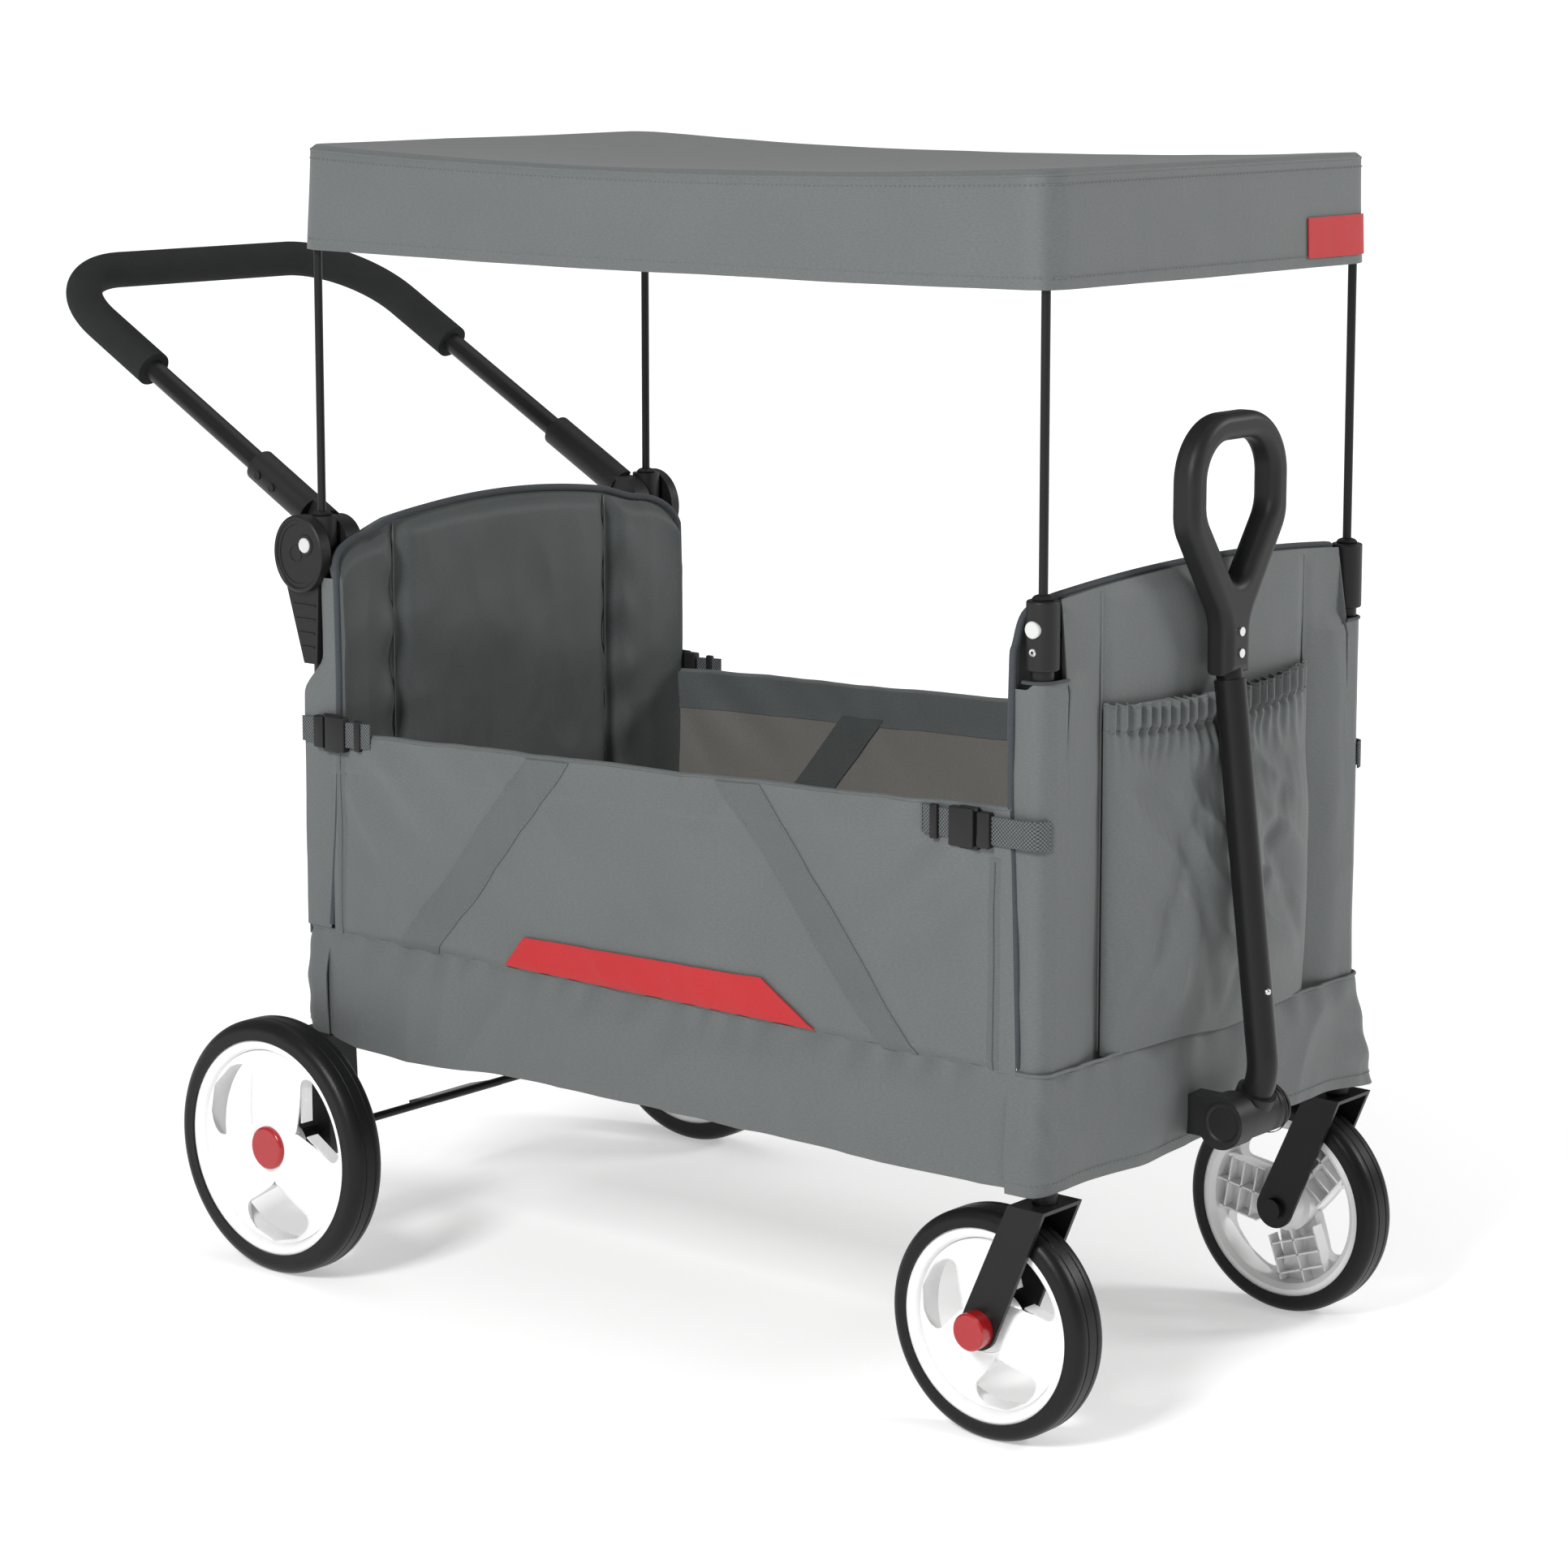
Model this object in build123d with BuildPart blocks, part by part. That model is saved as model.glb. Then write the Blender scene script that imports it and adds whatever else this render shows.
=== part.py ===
# Kids pull wagon: a folding four-wheel stroller wagon with a canopy.
# +X is forward, towards the pull handle; +Z is up; the ground is z = 0.
# The origin is the middle of the wagon's outer box, on the ground. Millimetres.

import os
from math import atan2, cos, degrees, radians, sin, sqrt, tan

from build123d import *

os.makedirs("parts", exist_ok=True)

# --- driving dimensions ---------------------------------------------------

POST_SPAN = 863.0          # rear posts to front posts, centre to centre
POST_TRACK = 465.6         # left posts to right posts, centre to centre
POST_R = 10.0
RUN = 0.05                 # radial clearance of a shaft in its bore
AIR = 0.3                  # gap between pieces that pass close by

DECK_Z = 330.0             # top of the floor boards
BOARD_THICK = 10.0
HEM_Z = 230.0              # lower edge of the skirt
WALL_TOP_Z = 548.0         # top edge of the side walls
CLOTH = 2.0                # thickness of a plain fabric wall
WALL_THICK = 3.0           # side wall, two layers of fabric

REAR_TOP_Z = 735.0         # crown of the backrest
FRONT_TOP_Z = 741.0        # crown of the front end panel
PANEL_THICK = 12.5
PANEL_HALF = 195.0         # half width of the stiff middle of each end panel

SOCKET_TOP_Z = 733.0       # mouths of the canopy sockets
POLE_R = 4.0
CANOPY_TOP_Z = 1090.0
CANOPY_DROP = 100.0        # depth of the canopy's valance
CANOPY_OUT = 12.5          # canopy edge beyond the poles' centres
CANOPY_CORNER = 26.0
CANOPY_THICK = 2.0

REAR_WHEEL_R = 125.0
REAR_RIM_R = 105.5
REAR_WHEEL_Y = 305.5       # middle of the rear wheels
REAR_AXLE_OUT = 4.5        # axle in front of the rear posts
FRONT_WHEEL_R = 102.0
FRONT_RIM_R = 86.0
WHEEL_W = 39.0
REAR_AXLE_R = 4.0
FRONT_AXLE_R = 5.0

CASTER_OUT = 4.5           # swivel axis in front of the front posts
CASTER_Y = 228.5
CASTER_TRAIL = 50.0
FORK_TOP_Z = 217.0
FORK_W = 38.0              # width of the fork's strip
FORK_T = 4.0               # thickness of the fork's strip
FORK_IN = 23.5             # half gap between the fork's legs

PUSH_ANGLE = 28.9          # push handle above the horizontal
PUSH_REACH = 472.9         # hub to the grip bar, along the handle
PUSH_HALF = 212.0          # half width of the push handle
PUSH_R = 10.5
GRIP_R = 18.5
GRIP_BEND = 95.0
HUB_BACK = 8.5             # handle pivot behind the rear posts
HUB_Z = 703.0
PUSH_RISE = 13.5           # handle tube above its pivot, at the pivot

PULL_PIVOT_OUT = 56.5      # pull handle pivot in front of the front posts
PULL_PIVOT_Z = 256.0
PULL_R = 14.0
PULL_BARREL_R = 22.0
PULL_LEAN = 7.0            # stowed pull handle, leaning back from upright
PULL_KICK = 24.0           # lower end of its tube, leaning forward
PULL_KNEE = 40.5           # pivot to the corner of the knee
PULL_KNEE_R = 60.0
PULL_TOP_Z = 640.0         # top of the outer tube
LOOP_TOP_Z = 874.0
LOOP_HALF = 74.0
LOOP_THICK = 27.0

FOLD_REST = 9.5            # slope of the scissor bars, wagon open
FOLD_TRAVEL = 56.0         # how far the bars turn as the wagon folds
PIVOT_Z = 247.0            # lower scissor pivots
BAR_HALF = 7.0
BAR_THICK = 7.4
BAR_Y = 212.0              # middle of the outer layer of bars
BAR_STEP = 9.0             # outer layer to inner layer
PIN_R = 4.0

# --- places worked out from them ------------------------------------------

POST_Y = POST_TRACK / 2
WALL_IN = POST_Y + POST_R + 2.2            # inner face of the side walls
push_c, push_s = cos(radians(PUSH_ANGLE)), sin(radians(PUSH_ANGLE))
knee_turn = radians(PULL_KICK + PULL_LEAN)
knee_mid = radians((PULL_KICK - PULL_LEAN) / 2)
knee_out = (
    PULL_PIVOT_OUT
    + PULL_KNEE * sin(radians(PULL_KICK))
    - PULL_KNEE_R / cos(knee_turn / 2) * cos(knee_mid)
    + PULL_KNEE_R
    + PULL_R
)
rear_reach = POST_SPAN / 2 + HUB_BACK + PUSH_REACH * push_c + GRIP_R
front_reach = POST_SPAN / 2 + knee_out
BODY_X = (rear_reach - front_reach) / 2    # middle of the wagon's body
REAR_X = BODY_X - POST_SPAN / 2
FRONT_X = BODY_X + POST_SPAN / 2

BAR_LENGTH = POST_SPAN / 2 / cos(radians(FOLD_REST))
PIVOT_TOP_Z = PIVOT_Z + POST_SPAN / 2 * tan(radians(FOLD_REST))
BAR_IN = BAR_Y - BAR_STEP                  # middle of the inner layer
HINGE_IN = 20.0                            # floor hinge inboard of the posts
FLOOR_HINGE_Z = DECK_Z - BOARD_THICK / 2
CROSS_R = 6.0
CROSS_Z = PIVOT_Z - BAR_HALF - 0.5 - CROSS_R
PANEL_LOW_Z = CROSS_Z + CROSS_R + AIR
REAR_PANEL_X = REAR_X + POST_R             # inner face of the backrest
FRONT_PANEL_X = FRONT_X - POST_R           # inner face of the front panel
SLEEVE_R = 14.0                            # rear sleeve round the post
SOCKET_R = 14.25                           # front canopy socket
POST_TOP_Z = 690.0
REAR_AXLE_X = REAR_X + REAR_AXLE_OUT
CASTER_X = FRONT_X + CASTER_OUT
CASTER_AXLE_X = CASTER_X - CASTER_TRAIL
HUB_X = REAR_X - HUB_BACK
PULL_X = FRONT_X + PULL_PIVOT_OUT
SIDES = ((1, "left"), (-1, "right"))       # left is +Y
ENDS = ((REAR_X, 1, "rear"), (FRONT_X, -1, "front"))   # second: towards the middle


def save(piece, label):
    piece.part.label = label
    export_step(piece.part, f"parts/{label}.step")


def across(side, inner, outer):
    """Sketch plane for an extrusion that fills |y| = inner to outer on a side."""
    high = outer if side > 0 else -inner
    return Plane.XZ.offset(-high)


def rod(side, x, z, radius, inner, outer, mode=Mode.ADD):
    """Round bar along Y, from |y| = inner to outer on one side."""
    with BuildSketch(across(side, inner, outer)) as profile:
        with Locations((x, z)):
            Circle(radius)
    extrude(profile.sketch, amount=outer - inner, mode=mode)


def block(side, x, z, inner, outer, mode=Mode.ADD):
    """Box from x[0] to x[1] and z[0] to z[1], |y| = inner to outer on one side."""
    with BuildSketch(across(side, inner, outer)) as profile:
        with Locations(((x[0] + x[1]) / 2, (z[0] + z[1]) / 2)):
            Rectangle(abs(x[1] - x[0]), z[1] - z[0])
    extrude(profile.sketch, amount=outer - inner, mode=mode)


def column(x, y, radius, low, high, mode=Mode.ADD):
    """Upright round bar."""
    with BuildSketch(Plane.XY.offset(low)) as profile:
        with Locations((x, y)):
            Circle(radius)
    extrude(profile.sketch, amount=high - low, mode=mode)


# --- rear and front frames --------------------------------------------------
# Round steel posts with cross tubes. The scissor's lower pivots are bosses on
# the posts' corner brackets; the upper tubes carry the end panels.

REAR_POST_LOW_Z = 150.0
FRONT_POST_LOW_Z = 280.0
UPPER_TUBE_R = 4.0
REAR_UPPER_Z = 669.0
FRONT_UPPER_Z = 700.0

with BuildPart() as rear_frame_tubes:
    for side, name in SIDES:
        column(REAR_X, side * POST_Y, POST_R, REAR_POST_LOW_Z, POST_TOP_Z)
        block(side, (REAR_X - 8, REAR_X + 8), (PIVOT_Z - 9, PIVOT_Z + 9),
              BAR_Y + BAR_THICK / 2 + AIR, POST_Y)
    for side, name in SIDES:
        rod(side, REAR_X, CROSS_Z, CROSS_R, 0, POST_Y)
    for side, name in SIDES:
        rod(side, REAR_X, PIVOT_Z, PIN_R + RUN, BAR_Y, POST_Y - POST_R - 0.5, Mode.SUBTRACT)
        rod(side, REAR_PANEL_X - PANEL_THICK / 2, REAR_UPPER_Z, UPPER_TUBE_R,
            0, POST_Y - SLEEVE_R - AIR)
save(rear_frame_tubes, "rear_frame_tubes")

with BuildPart() as front_frame_tubes:
    for side, name in SIDES:
        column(FRONT_X, side * POST_Y, POST_R, FRONT_POST_LOW_Z, POST_TOP_Z - 4)
        rod(side, FRONT_X, CROSS_Z, CROSS_R, 0, 216 - AIR)
        rod(side, FRONT_PANEL_X + PANEL_THICK / 2, FRONT_UPPER_Z, UPPER_TUBE_R,
            0, POST_Y - SOCKET_R - AIR)
save(front_frame_tubes, "front_frame_tubes")

# Plastic corner brackets: rear ones carry the axle and the brake, front ones
# hold the posts and the casters' stems.
REAR_BRACKET_OUT = 262.0
REAR_BRACKET_R = 24.0
BRACKET_HALF = 11.0                        # half length of a front bracket
SADDLE_HALF_Z = 14.0                       # half height of the sliding saddles
FRONT_BRACKET_TOP_Z = PIVOT_TOP_Z - SADDLE_HALF_Z - 2.0
STEM_R = 6.0
BEARING_R = 11.0
BRAKE_X, BRAKE_Z, BRAKE_PIN_R = REAR_X - 14.5, 190.0, 3.0

with BuildPart() as rear_brackets:
    for side, name in SIDES:
        inner = POST_Y - POST_R - 0.8
        with BuildSketch(across(side, inner, REAR_BRACKET_OUT)):
            with Locations((REAR_AXLE_X, REAR_WHEEL_R)):
                Circle(REAR_BRACKET_R)
            with BuildLine():
                Polyline((REAR_AXLE_X - REAR_BRACKET_R, REAR_WHEEL_R),
                         (REAR_X - 22, HEM_Z - 3), (REAR_X + 24, HEM_Z - 3),
                         (REAR_AXLE_X + REAR_BRACKET_R, REAR_WHEEL_R), close=True)
            make_face()
        extrude(amount=REAR_BRACKET_OUT - inner)
        rod(side, REAR_AXLE_X, REAR_WHEEL_R, 9.0, REAR_BRACKET_OUT,
            REAR_WHEEL_Y - WHEEL_W / 2 - 3.5)
    for side, name in SIDES:
        column(REAR_X, side * POST_Y, POST_R, REAR_POST_LOW_Z, HEM_Z, Mode.SUBTRACT)
        rod(side, REAR_AXLE_X, REAR_WHEEL_R, REAR_AXLE_R, 0, REAR_WHEEL_Y, Mode.SUBTRACT)
        rod(side, BRAKE_X, BRAKE_Z, BRAKE_PIN_R + RUN, 0, POST_Y - POST_R + 5.5, Mode.SUBTRACT)
save(rear_brackets, "rear_brackets")

with BuildPart() as front_brackets:
    for side, name in SIDES:
        block(side, (FRONT_X - BRACKET_HALF + 1, FRONT_X + BRACKET_HALF + 1),
              (HEM_Z + 2, FRONT_BRACKET_TOP_Z), 216, WALL_IN - 0.2)
        rod(side, FRONT_X, PIVOT_Z, BAR_HALF + 0.2, BAR_IN + BAR_THICK / 2 + AIR, 217)
    for side, name in SIDES:
        column(FRONT_X, side * POST_Y, POST_R, FRONT_POST_LOW_Z, FRONT_BRACKET_TOP_Z + 1,
               Mode.SUBTRACT)
        column(CASTER_X, side * CASTER_Y, STEM_R + RUN, HEM_Z, FRONT_POST_LOW_Z - 4,
               Mode.SUBTRACT)
        rod(side, FRONT_X, PIVOT_Z, PIN_R + RUN, BAR_IN, 216, Mode.SUBTRACT)
save(front_brackets, "front_brackets")

with BuildPart() as caster_bearings:
    for side, name in SIDES:
        column(CASTER_X, side * CASTER_Y, BEARING_R, FORK_TOP_Z + AIR, HEM_Z - 0.5)
        column(CASTER_X, side * CASTER_Y, STEM_R + 1.5, HEM_Z - 0.5, HEM_Z + 2)
        column(CASTER_X, side * CASTER_Y, STEM_R + RUN, FORK_TOP_Z, HEM_Z + 2, Mode.SUBTRACT)
save(caster_bearings, "caster_bearings")

# --- hubs of the push handle, with the rear canopy sockets --------------------
# A sleeve clamps the post, an egg-shaped housing on its outer side holds the
# release cap and the canopy button, and a stub on its inner side is the pivot.

HUB_LOW_Z = 590.0
SADDLE_RISE = BAR_LENGTH * sin(radians(FOLD_REST + FOLD_TRAVEL))
SLEEVE_LOW_Z = PIVOT_Z + SADDLE_RISE + SADDLE_HALF_Z + 3.0     # clear of the folded saddles
HUB_FACE = 257.0
HUB_BACK_FACE = WALL_IN + 0.5              # the housing's back, clear of the backrest's wing
HUB_HALF_X, HUB_HALF_Z = 33.5, 37.5
HUB_DISC_Z = HUB_Z - 6.0
CAP_HALF_X, CAP_HALF_Z = 25.0, 28.5
BUTTON_R = 7.25
BUTTON_X, BUTTON_Z = REAR_X + 0.5, 706.0
PIVOT_STUB_R = 8.0
KNUCKLE_IN, KNUCKLE_OUT = 198.0, POST_Y - SLEEVE_R - 0.5
KNUCKLE_R = 28.0
RECESS = 6.5

with BuildPart() as hub_brackets:
    for side, name in SIDES:
        column(REAR_X, side * POST_Y, SLEEVE_R, SLEEVE_LOW_Z, SOCKET_TOP_Z)
        with BuildSketch(across(side, HUB_BACK_FACE, HUB_FACE)):
            with Locations((HUB_X, HUB_DISC_Z)):
                Ellipse(HUB_HALF_X, HUB_HALF_Z)
        extrude(amount=HUB_FACE - HUB_BACK_FACE)
        with BuildSketch(across(side, POST_Y, 250)):
            with BuildLine():
                Polyline((HUB_X - 29, HUB_DISC_Z - 18), (REAR_X - 10, HUB_LOW_Z),
                         (REAR_X + 8, HUB_LOW_Z), (REAR_X + 12, HUB_DISC_Z - 18), close=True)
            make_face()
        extrude(amount=250 - POST_Y)
        rod(side, HUB_X, HUB_Z, PIVOT_STUB_R, KNUCKLE_IN + 0.5, POST_Y)
    for side, name in SIDES:
        with BuildSketch(across(side, HUB_FACE - RECESS, HUB_FACE + 1)):
            with Locations((HUB_X, HUB_DISC_Z)):
                Ellipse(CAP_HALF_X + 0.25, CAP_HALF_Z + 0.25)
            with Locations((BUTTON_X, BUTTON_Z)):
                Circle(BUTTON_R + 3, mode=Mode.SUBTRACT)
        extrude(amount=RECESS + 1, mode=Mode.SUBTRACT)
        rod(side, BUTTON_X, BUTTON_Z, BUTTON_R + RUN, HUB_FACE - RECESS, HUB_FACE + 1,
            Mode.SUBTRACT)
        column(REAR_X, side * POST_Y, POST_R, HUB_LOW_Z - 1, POST_TOP_Z, Mode.SUBTRACT)
        column(REAR_X, side * POST_Y, POLE_R + RUN, POST_TOP_Z + 3, SOCKET_TOP_Z + 1,
               Mode.SUBTRACT)
save(hub_brackets, "hub_brackets")

for side, name in SIDES:
    with BuildPart() as release_cap:
        with BuildSketch(across(side, HUB_FACE - 3.5, HUB_FACE - 0.5)):
            with Locations((HUB_X, HUB_DISC_Z)):
                Ellipse(CAP_HALF_X, CAP_HALF_Z)
            with Locations((BUTTON_X, BUTTON_Z)):
                Circle(BUTTON_R + 3.3, mode=Mode.SUBTRACT)
        extrude(amount=3)
    save(release_cap, f"handle_release_{name}")

    with BuildPart() as rear_button:
        rod(side, BUTTON_X, BUTTON_Z, BUTTON_R, HUB_FACE - 3.8, HUB_FACE + 1.7)
        chamfer(rear_button.faces().sort_by(Axis.Y)[-1 if side > 0 else 0].edges(), 0.8)
    save(rear_button, f"canopy_button_rear_{name}")

# --- front canopy sockets -------------------------------------------------------

SOCKET_LOW_Z = 674.0
SOCKET_BUTTON_Z = 709.5
SOCKET_FACE = POST_Y + SOCKET_R

with BuildPart() as front_sockets:
    for side, name in SIDES:
        column(FRONT_X, side * POST_Y, SOCKET_R, SOCKET_LOW_Z, SOCKET_TOP_Z)
    fillet(front_sockets.faces().filter_by(Axis.Z).edges(), 2)
    for side, name in SIDES:
        column(FRONT_X, side * POST_Y, POST_R, SOCKET_LOW_Z - 1, POST_TOP_Z - 4, Mode.SUBTRACT)
        column(FRONT_X, side * POST_Y, POLE_R + RUN, POST_TOP_Z - 1, SOCKET_TOP_Z + 1,
               Mode.SUBTRACT)
        rod(side, FRONT_X, SOCKET_BUTTON_Z, BUTTON_R + RUN, SOCKET_FACE - 6, SOCKET_FACE + 1,
            Mode.SUBTRACT)
save(front_sockets, "front_sockets")

for side, name in SIDES:
    with BuildPart() as front_button:
        rod(side, FRONT_X, SOCKET_BUTTON_Z, BUTTON_R, SOCKET_FACE - 3.6, SOCKET_FACE + 2)
        chamfer(front_button.faces().sort_by(Axis.Y)[-1 if side > 0 else 0].edges(), 0.8)
    save(front_button, f"canopy_button_front_{name}")

# --- scissor bars, one pair on each side ------------------------------------------
# Two layers: a bar and the one that crosses it never share a layer. Each bar
# has its pins; the joint at the lower centre is the linkage's open pivot.


def scissor_bar(side, start, end, layer, pins, holes):
    """A flat bar from start to end in X and Z. pins: (x, z, |y| reach), towards the
    reach; holes: (x, z)."""
    low, high = layer - BAR_THICK / 2, layer + BAR_THICK / 2
    run = atan2(end[1] - start[1], end[0] - start[0])
    with BuildSketch(across(side, low, high)) as profile:
        with Locations(Location(((start[0] + end[0]) / 2, (start[1] + end[1]) / 2), degrees(run))):
            SlotCenterToCenter(BAR_LENGTH, 2 * BAR_HALF)
        for x, z in holes:
            with Locations((x, z)):
                Circle(PIN_R + RUN, mode=Mode.SUBTRACT)
    extrude(profile.sketch, amount=BAR_THICK)
    for x, z, reach in pins:
        if reach > layer:
            rod(side, x, z, PIN_R, high, reach)
        else:
            rod(side, x, z, PIN_R, reach, low)


rear_low = (REAR_X, PIVOT_Z)
rear_high = (REAR_X, PIVOT_TOP_Z)
front_low = (FRONT_X, PIVOT_Z)
front_high = (FRONT_X, PIVOT_TOP_Z)
centre_low = (BODY_X, PIVOT_Z)
centre_high = (BODY_X, PIVOT_TOP_Z)
half_z = (PIVOT_Z + PIVOT_TOP_Z) / 2
rear_cross = (BODY_X - POST_SPAN / 4, half_z)
front_cross = (BODY_X + POST_SPAN / 4, half_z)
outer_face = BAR_Y + BAR_THICK / 2
inner_face = BAR_IN - BAR_THICK / 2
pin_end = POST_Y - POST_R - 1.0

with BuildPart() as scissor_bar_rear_low:
    for side, name in SIDES:
        scissor_bar(side, rear_low, centre_high, BAR_Y,
                    [(*rear_low, pin_end), (*centre_high, inner_face)], [rear_cross])
save(scissor_bar_rear_low, "scissor_bar_rear_low")

with BuildPart() as scissor_bar_rear_high:
    for side, name in SIDES:
        scissor_bar(side, rear_high, centre_low, BAR_IN,
                    [(*rear_high, pin_end), (*rear_cross, outer_face)], [centre_low])
save(scissor_bar_rear_high, "scissor_bar_rear_high")

with BuildPart() as scissor_bar_front_low:
    for side, name in SIDES:
        scissor_bar(side, front_low, centre_high, BAR_IN,
                    [(*front_low, 215.5), (*front_cross, outer_face)], [centre_high])
save(scissor_bar_front_low, "scissor_bar_front_low")

with BuildPart() as scissor_bar_front_high:
    for side, name in SIDES:
        scissor_bar(side, front_high, centre_low, BAR_Y,
                    [(*front_high, pin_end), (*centre_low, inner_face)], [front_cross])
save(scissor_bar_front_high, "scissor_bar_front_high")

# Saddles that slide up the posts and carry the bars' upper ends.
SADDLE_HALF_X, SADDLE_OUT = 9.5, 226.0
for end_x, inward, end in ENDS:
    face = BAR_IN + BAR_THICK / 2 + AIR if end == "rear" else outer_face + AIR
    with BuildPart() as sliders:
        for side, name in SIDES:
            block(side, (end_x - SADDLE_HALF_X, end_x + SADDLE_HALF_X),
                  (PIVOT_TOP_Z - SADDLE_HALF_Z, PIVOT_TOP_Z + SADDLE_HALF_Z), face, SADDLE_OUT)
        for side, name in SIDES:
            column(end_x, side * POST_Y, POST_R + AIR, PIVOT_TOP_Z - 20, PIVOT_TOP_Z + 20,
                   Mode.SUBTRACT)
            rod(side, end_x, PIVOT_TOP_Z, PIN_R + RUN, face - 1, SADDLE_OUT + 1, Mode.SUBTRACT)
    save(sliders, f"{end}_sliders")

# --- folding floor boards -------------------------------------------------------

LUG_Y = (-150.0, 0.0, 150.0)
LUG_W = 20.0
HINGE_PIN_R = 2.5
BOARD_LENGTH = POST_SPAN / 2 - HINGE_IN - 19.5
for end_x, inward, end in ENDS:
    hinge_x = end_x + inward * HINGE_IN
    back, tip = hinge_x - inward * 2, hinge_x + inward * BOARD_LENGTH
    with BuildPart() as floor_board:
        with BuildSketch(Plane.XY.offset(DECK_Z - BOARD_THICK)):
            with Locations(((back + tip) / 2, 0)):
                Rectangle(abs(tip - back), 2 * PANEL_HALF)
            for y in LUG_Y:
                with Locations((hinge_x + inward * 4.5, y)):
                    Rectangle(15, LUG_W + 1, mode=Mode.SUBTRACT)
        extrude(amount=BOARD_THICK)
        for y in LUG_Y:
            with BuildSketch(Plane.XZ.offset(-(y + LUG_W / 2 + 2))):
                with Locations((hinge_x, FLOOR_HINGE_Z)):
                    Circle(HINGE_PIN_R)
            extrude(amount=LUG_W + 4)
    save(floor_board, f"floor_board_{end}")

# --- end panels -------------------------------------------------------------------
# A padded board between the posts, with lugs for the floor boards' hinge pins.


def end_board(inner_x, inward, top_z, side_top_z, tube_z):
    """Board whose inner face is at inner_x, its top edge an arc, with lugs for the floor
    and a tunnel for the frame's upper tube."""
    outer_x = inner_x - inward * PANEL_THICK
    low_x = min(inner_x, outer_x)
    with BuildSketch(Plane.YZ.offset(low_x)) as profile:
        with BuildLine():
            Polyline((-PANEL_HALF, side_top_z), (-PANEL_HALF, PANEL_LOW_Z),
                     (PANEL_HALF, PANEL_LOW_Z), (PANEL_HALF, side_top_z))
            ThreePointArc((-PANEL_HALF, side_top_z), (0, top_z), (PANEL_HALF, side_top_z))
        make_face()
    extrude(profile.sketch, amount=PANEL_THICK)
    for side, name in SIDES:
        rod(side, (inner_x + outer_x) / 2, tube_z, UPPER_TUBE_R, 0, PANEL_HALF + 1, Mode.SUBTRACT)
    hinge_x = inner_x + inward * (HINGE_IN - POST_R)
    for y in LUG_Y:
        with BuildSketch(Plane.XZ.offset(-(y + LUG_W / 2))) as lug:
            with Locations(((hinge_x + inner_x) / 2, FLOOR_HINGE_Z)):
                Rectangle(abs(hinge_x - inner_x), BOARD_THICK)
            with Locations((hinge_x, FLOOR_HINGE_Z)):
                Circle(BOARD_THICK / 2)
                Circle(HINGE_PIN_R + RUN, mode=Mode.SUBTRACT)
        extrude(lug.sketch, amount=LUG_W)


with BuildPart() as backrest_panel:
    end_board(REAR_PANEL_X, 1, REAR_TOP_Z, REAR_TOP_Z - 20, REAR_UPPER_Z)
save(backrest_panel, "backrest_panel")

WING_TOP_Z = 712.0
WING_T = 3.0
WING_X = HUB_X + KNUCKLE_R + 3.0           # the wing passes in front of the knuckle
with BuildPart() as backrest_wings:
    for side, name in SIDES:
        with BuildSketch(Plane.XY.offset(DECK_Z + 2)):
            with BuildLine():
                Polyline((REAR_PANEL_X - 2, side * (PANEL_HALF + AIR)),
                         (WING_X + WING_T, side * (PANEL_HALF + AIR)),
                         (WING_X + WING_T + 2, side * (WALL_IN - 1)),
                         (WING_X + 2, side * (WALL_IN - 1)),
                         (WING_X, side * (PANEL_HALF + AIR + 2.4)),
                         (REAR_PANEL_X - 2, side * (PANEL_HALF + AIR + 2.4)), close=True)
            make_face()
        extrude(amount=WING_TOP_Z - DECK_Z - 2)
save(backrest_wings, "backrest_wings")

# The front panel's wings wrap the outside of the front posts; each has a notch
# at the top that the post comes out of.
WRAP_T = 1.9
WRAP_X = FRONT_X + POST_R + AIR            # inner face of the wrap, in front of the post
WING_BACK_X = FRONT_X - 10.0
NOTCH_Z = 664.0
with BuildPart() as front_panel:
    end_board(FRONT_PANEL_X, -1, FRONT_TOP_Z, FRONT_TOP_Z - 8, FRONT_UPPER_Z)
    for side, name in SIDES:
        with BuildSketch(Plane.XY.offset(DECK_Z + 2)):
            with BuildLine():
                Polyline((FRONT_PANEL_X + PANEL_THICK, side * (PANEL_HALF - 2)),
                         (WRAP_X + WRAP_T, side * (PANEL_HALF + 12)),
                         (WRAP_X + WRAP_T, side * WALL_IN),
                         (WING_BACK_X, side * WALL_IN),
                         (WING_BACK_X, side * (WALL_IN - WRAP_T)),
                         (WRAP_X, side * (WALL_IN - WRAP_T)),
                         (WRAP_X, side * (PANEL_HALF + 11)),
                         (FRONT_PANEL_X + PANEL_THICK - CLOTH, side * (PANEL_HALF - 2)),
                         close=True)
            make_face()
        extrude(amount=NOTCH_Z - DECK_Z - 2)
save(front_panel, "front_panel")

# Elastic-topped pocket on the front panel, open at the top.
POCKET_HALF, POCKET_TOP_Z = 157.0, 637.0
POCKET_BACK_X = FRONT_PANEL_X + PANEL_THICK + AIR
with BuildPart() as front_pocket:
    for inset, mode in ((0.0, Mode.ADD), (CLOTH, Mode.SUBTRACT)):
        with BuildSketch(Plane.XZ.offset(-(POCKET_HALF - inset))):
            with BuildLine():
                Polyline((POCKET_BACK_X + inset, POCKET_TOP_Z + inset),
                         (POCKET_BACK_X + inset, DECK_Z + 4 + inset),
                         (POCKET_BACK_X + 24 - inset, DECK_Z + 4 + inset),
                         (POCKET_BACK_X + 30 - inset, DECK_Z + 50),
                         (POCKET_BACK_X + 13 - inset, POCKET_TOP_Z + inset), close=True)
            make_face()
        extrude(amount=2 * (POCKET_HALF - inset), mode=mode)
save(front_pocket, "front_pocket")

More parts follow.
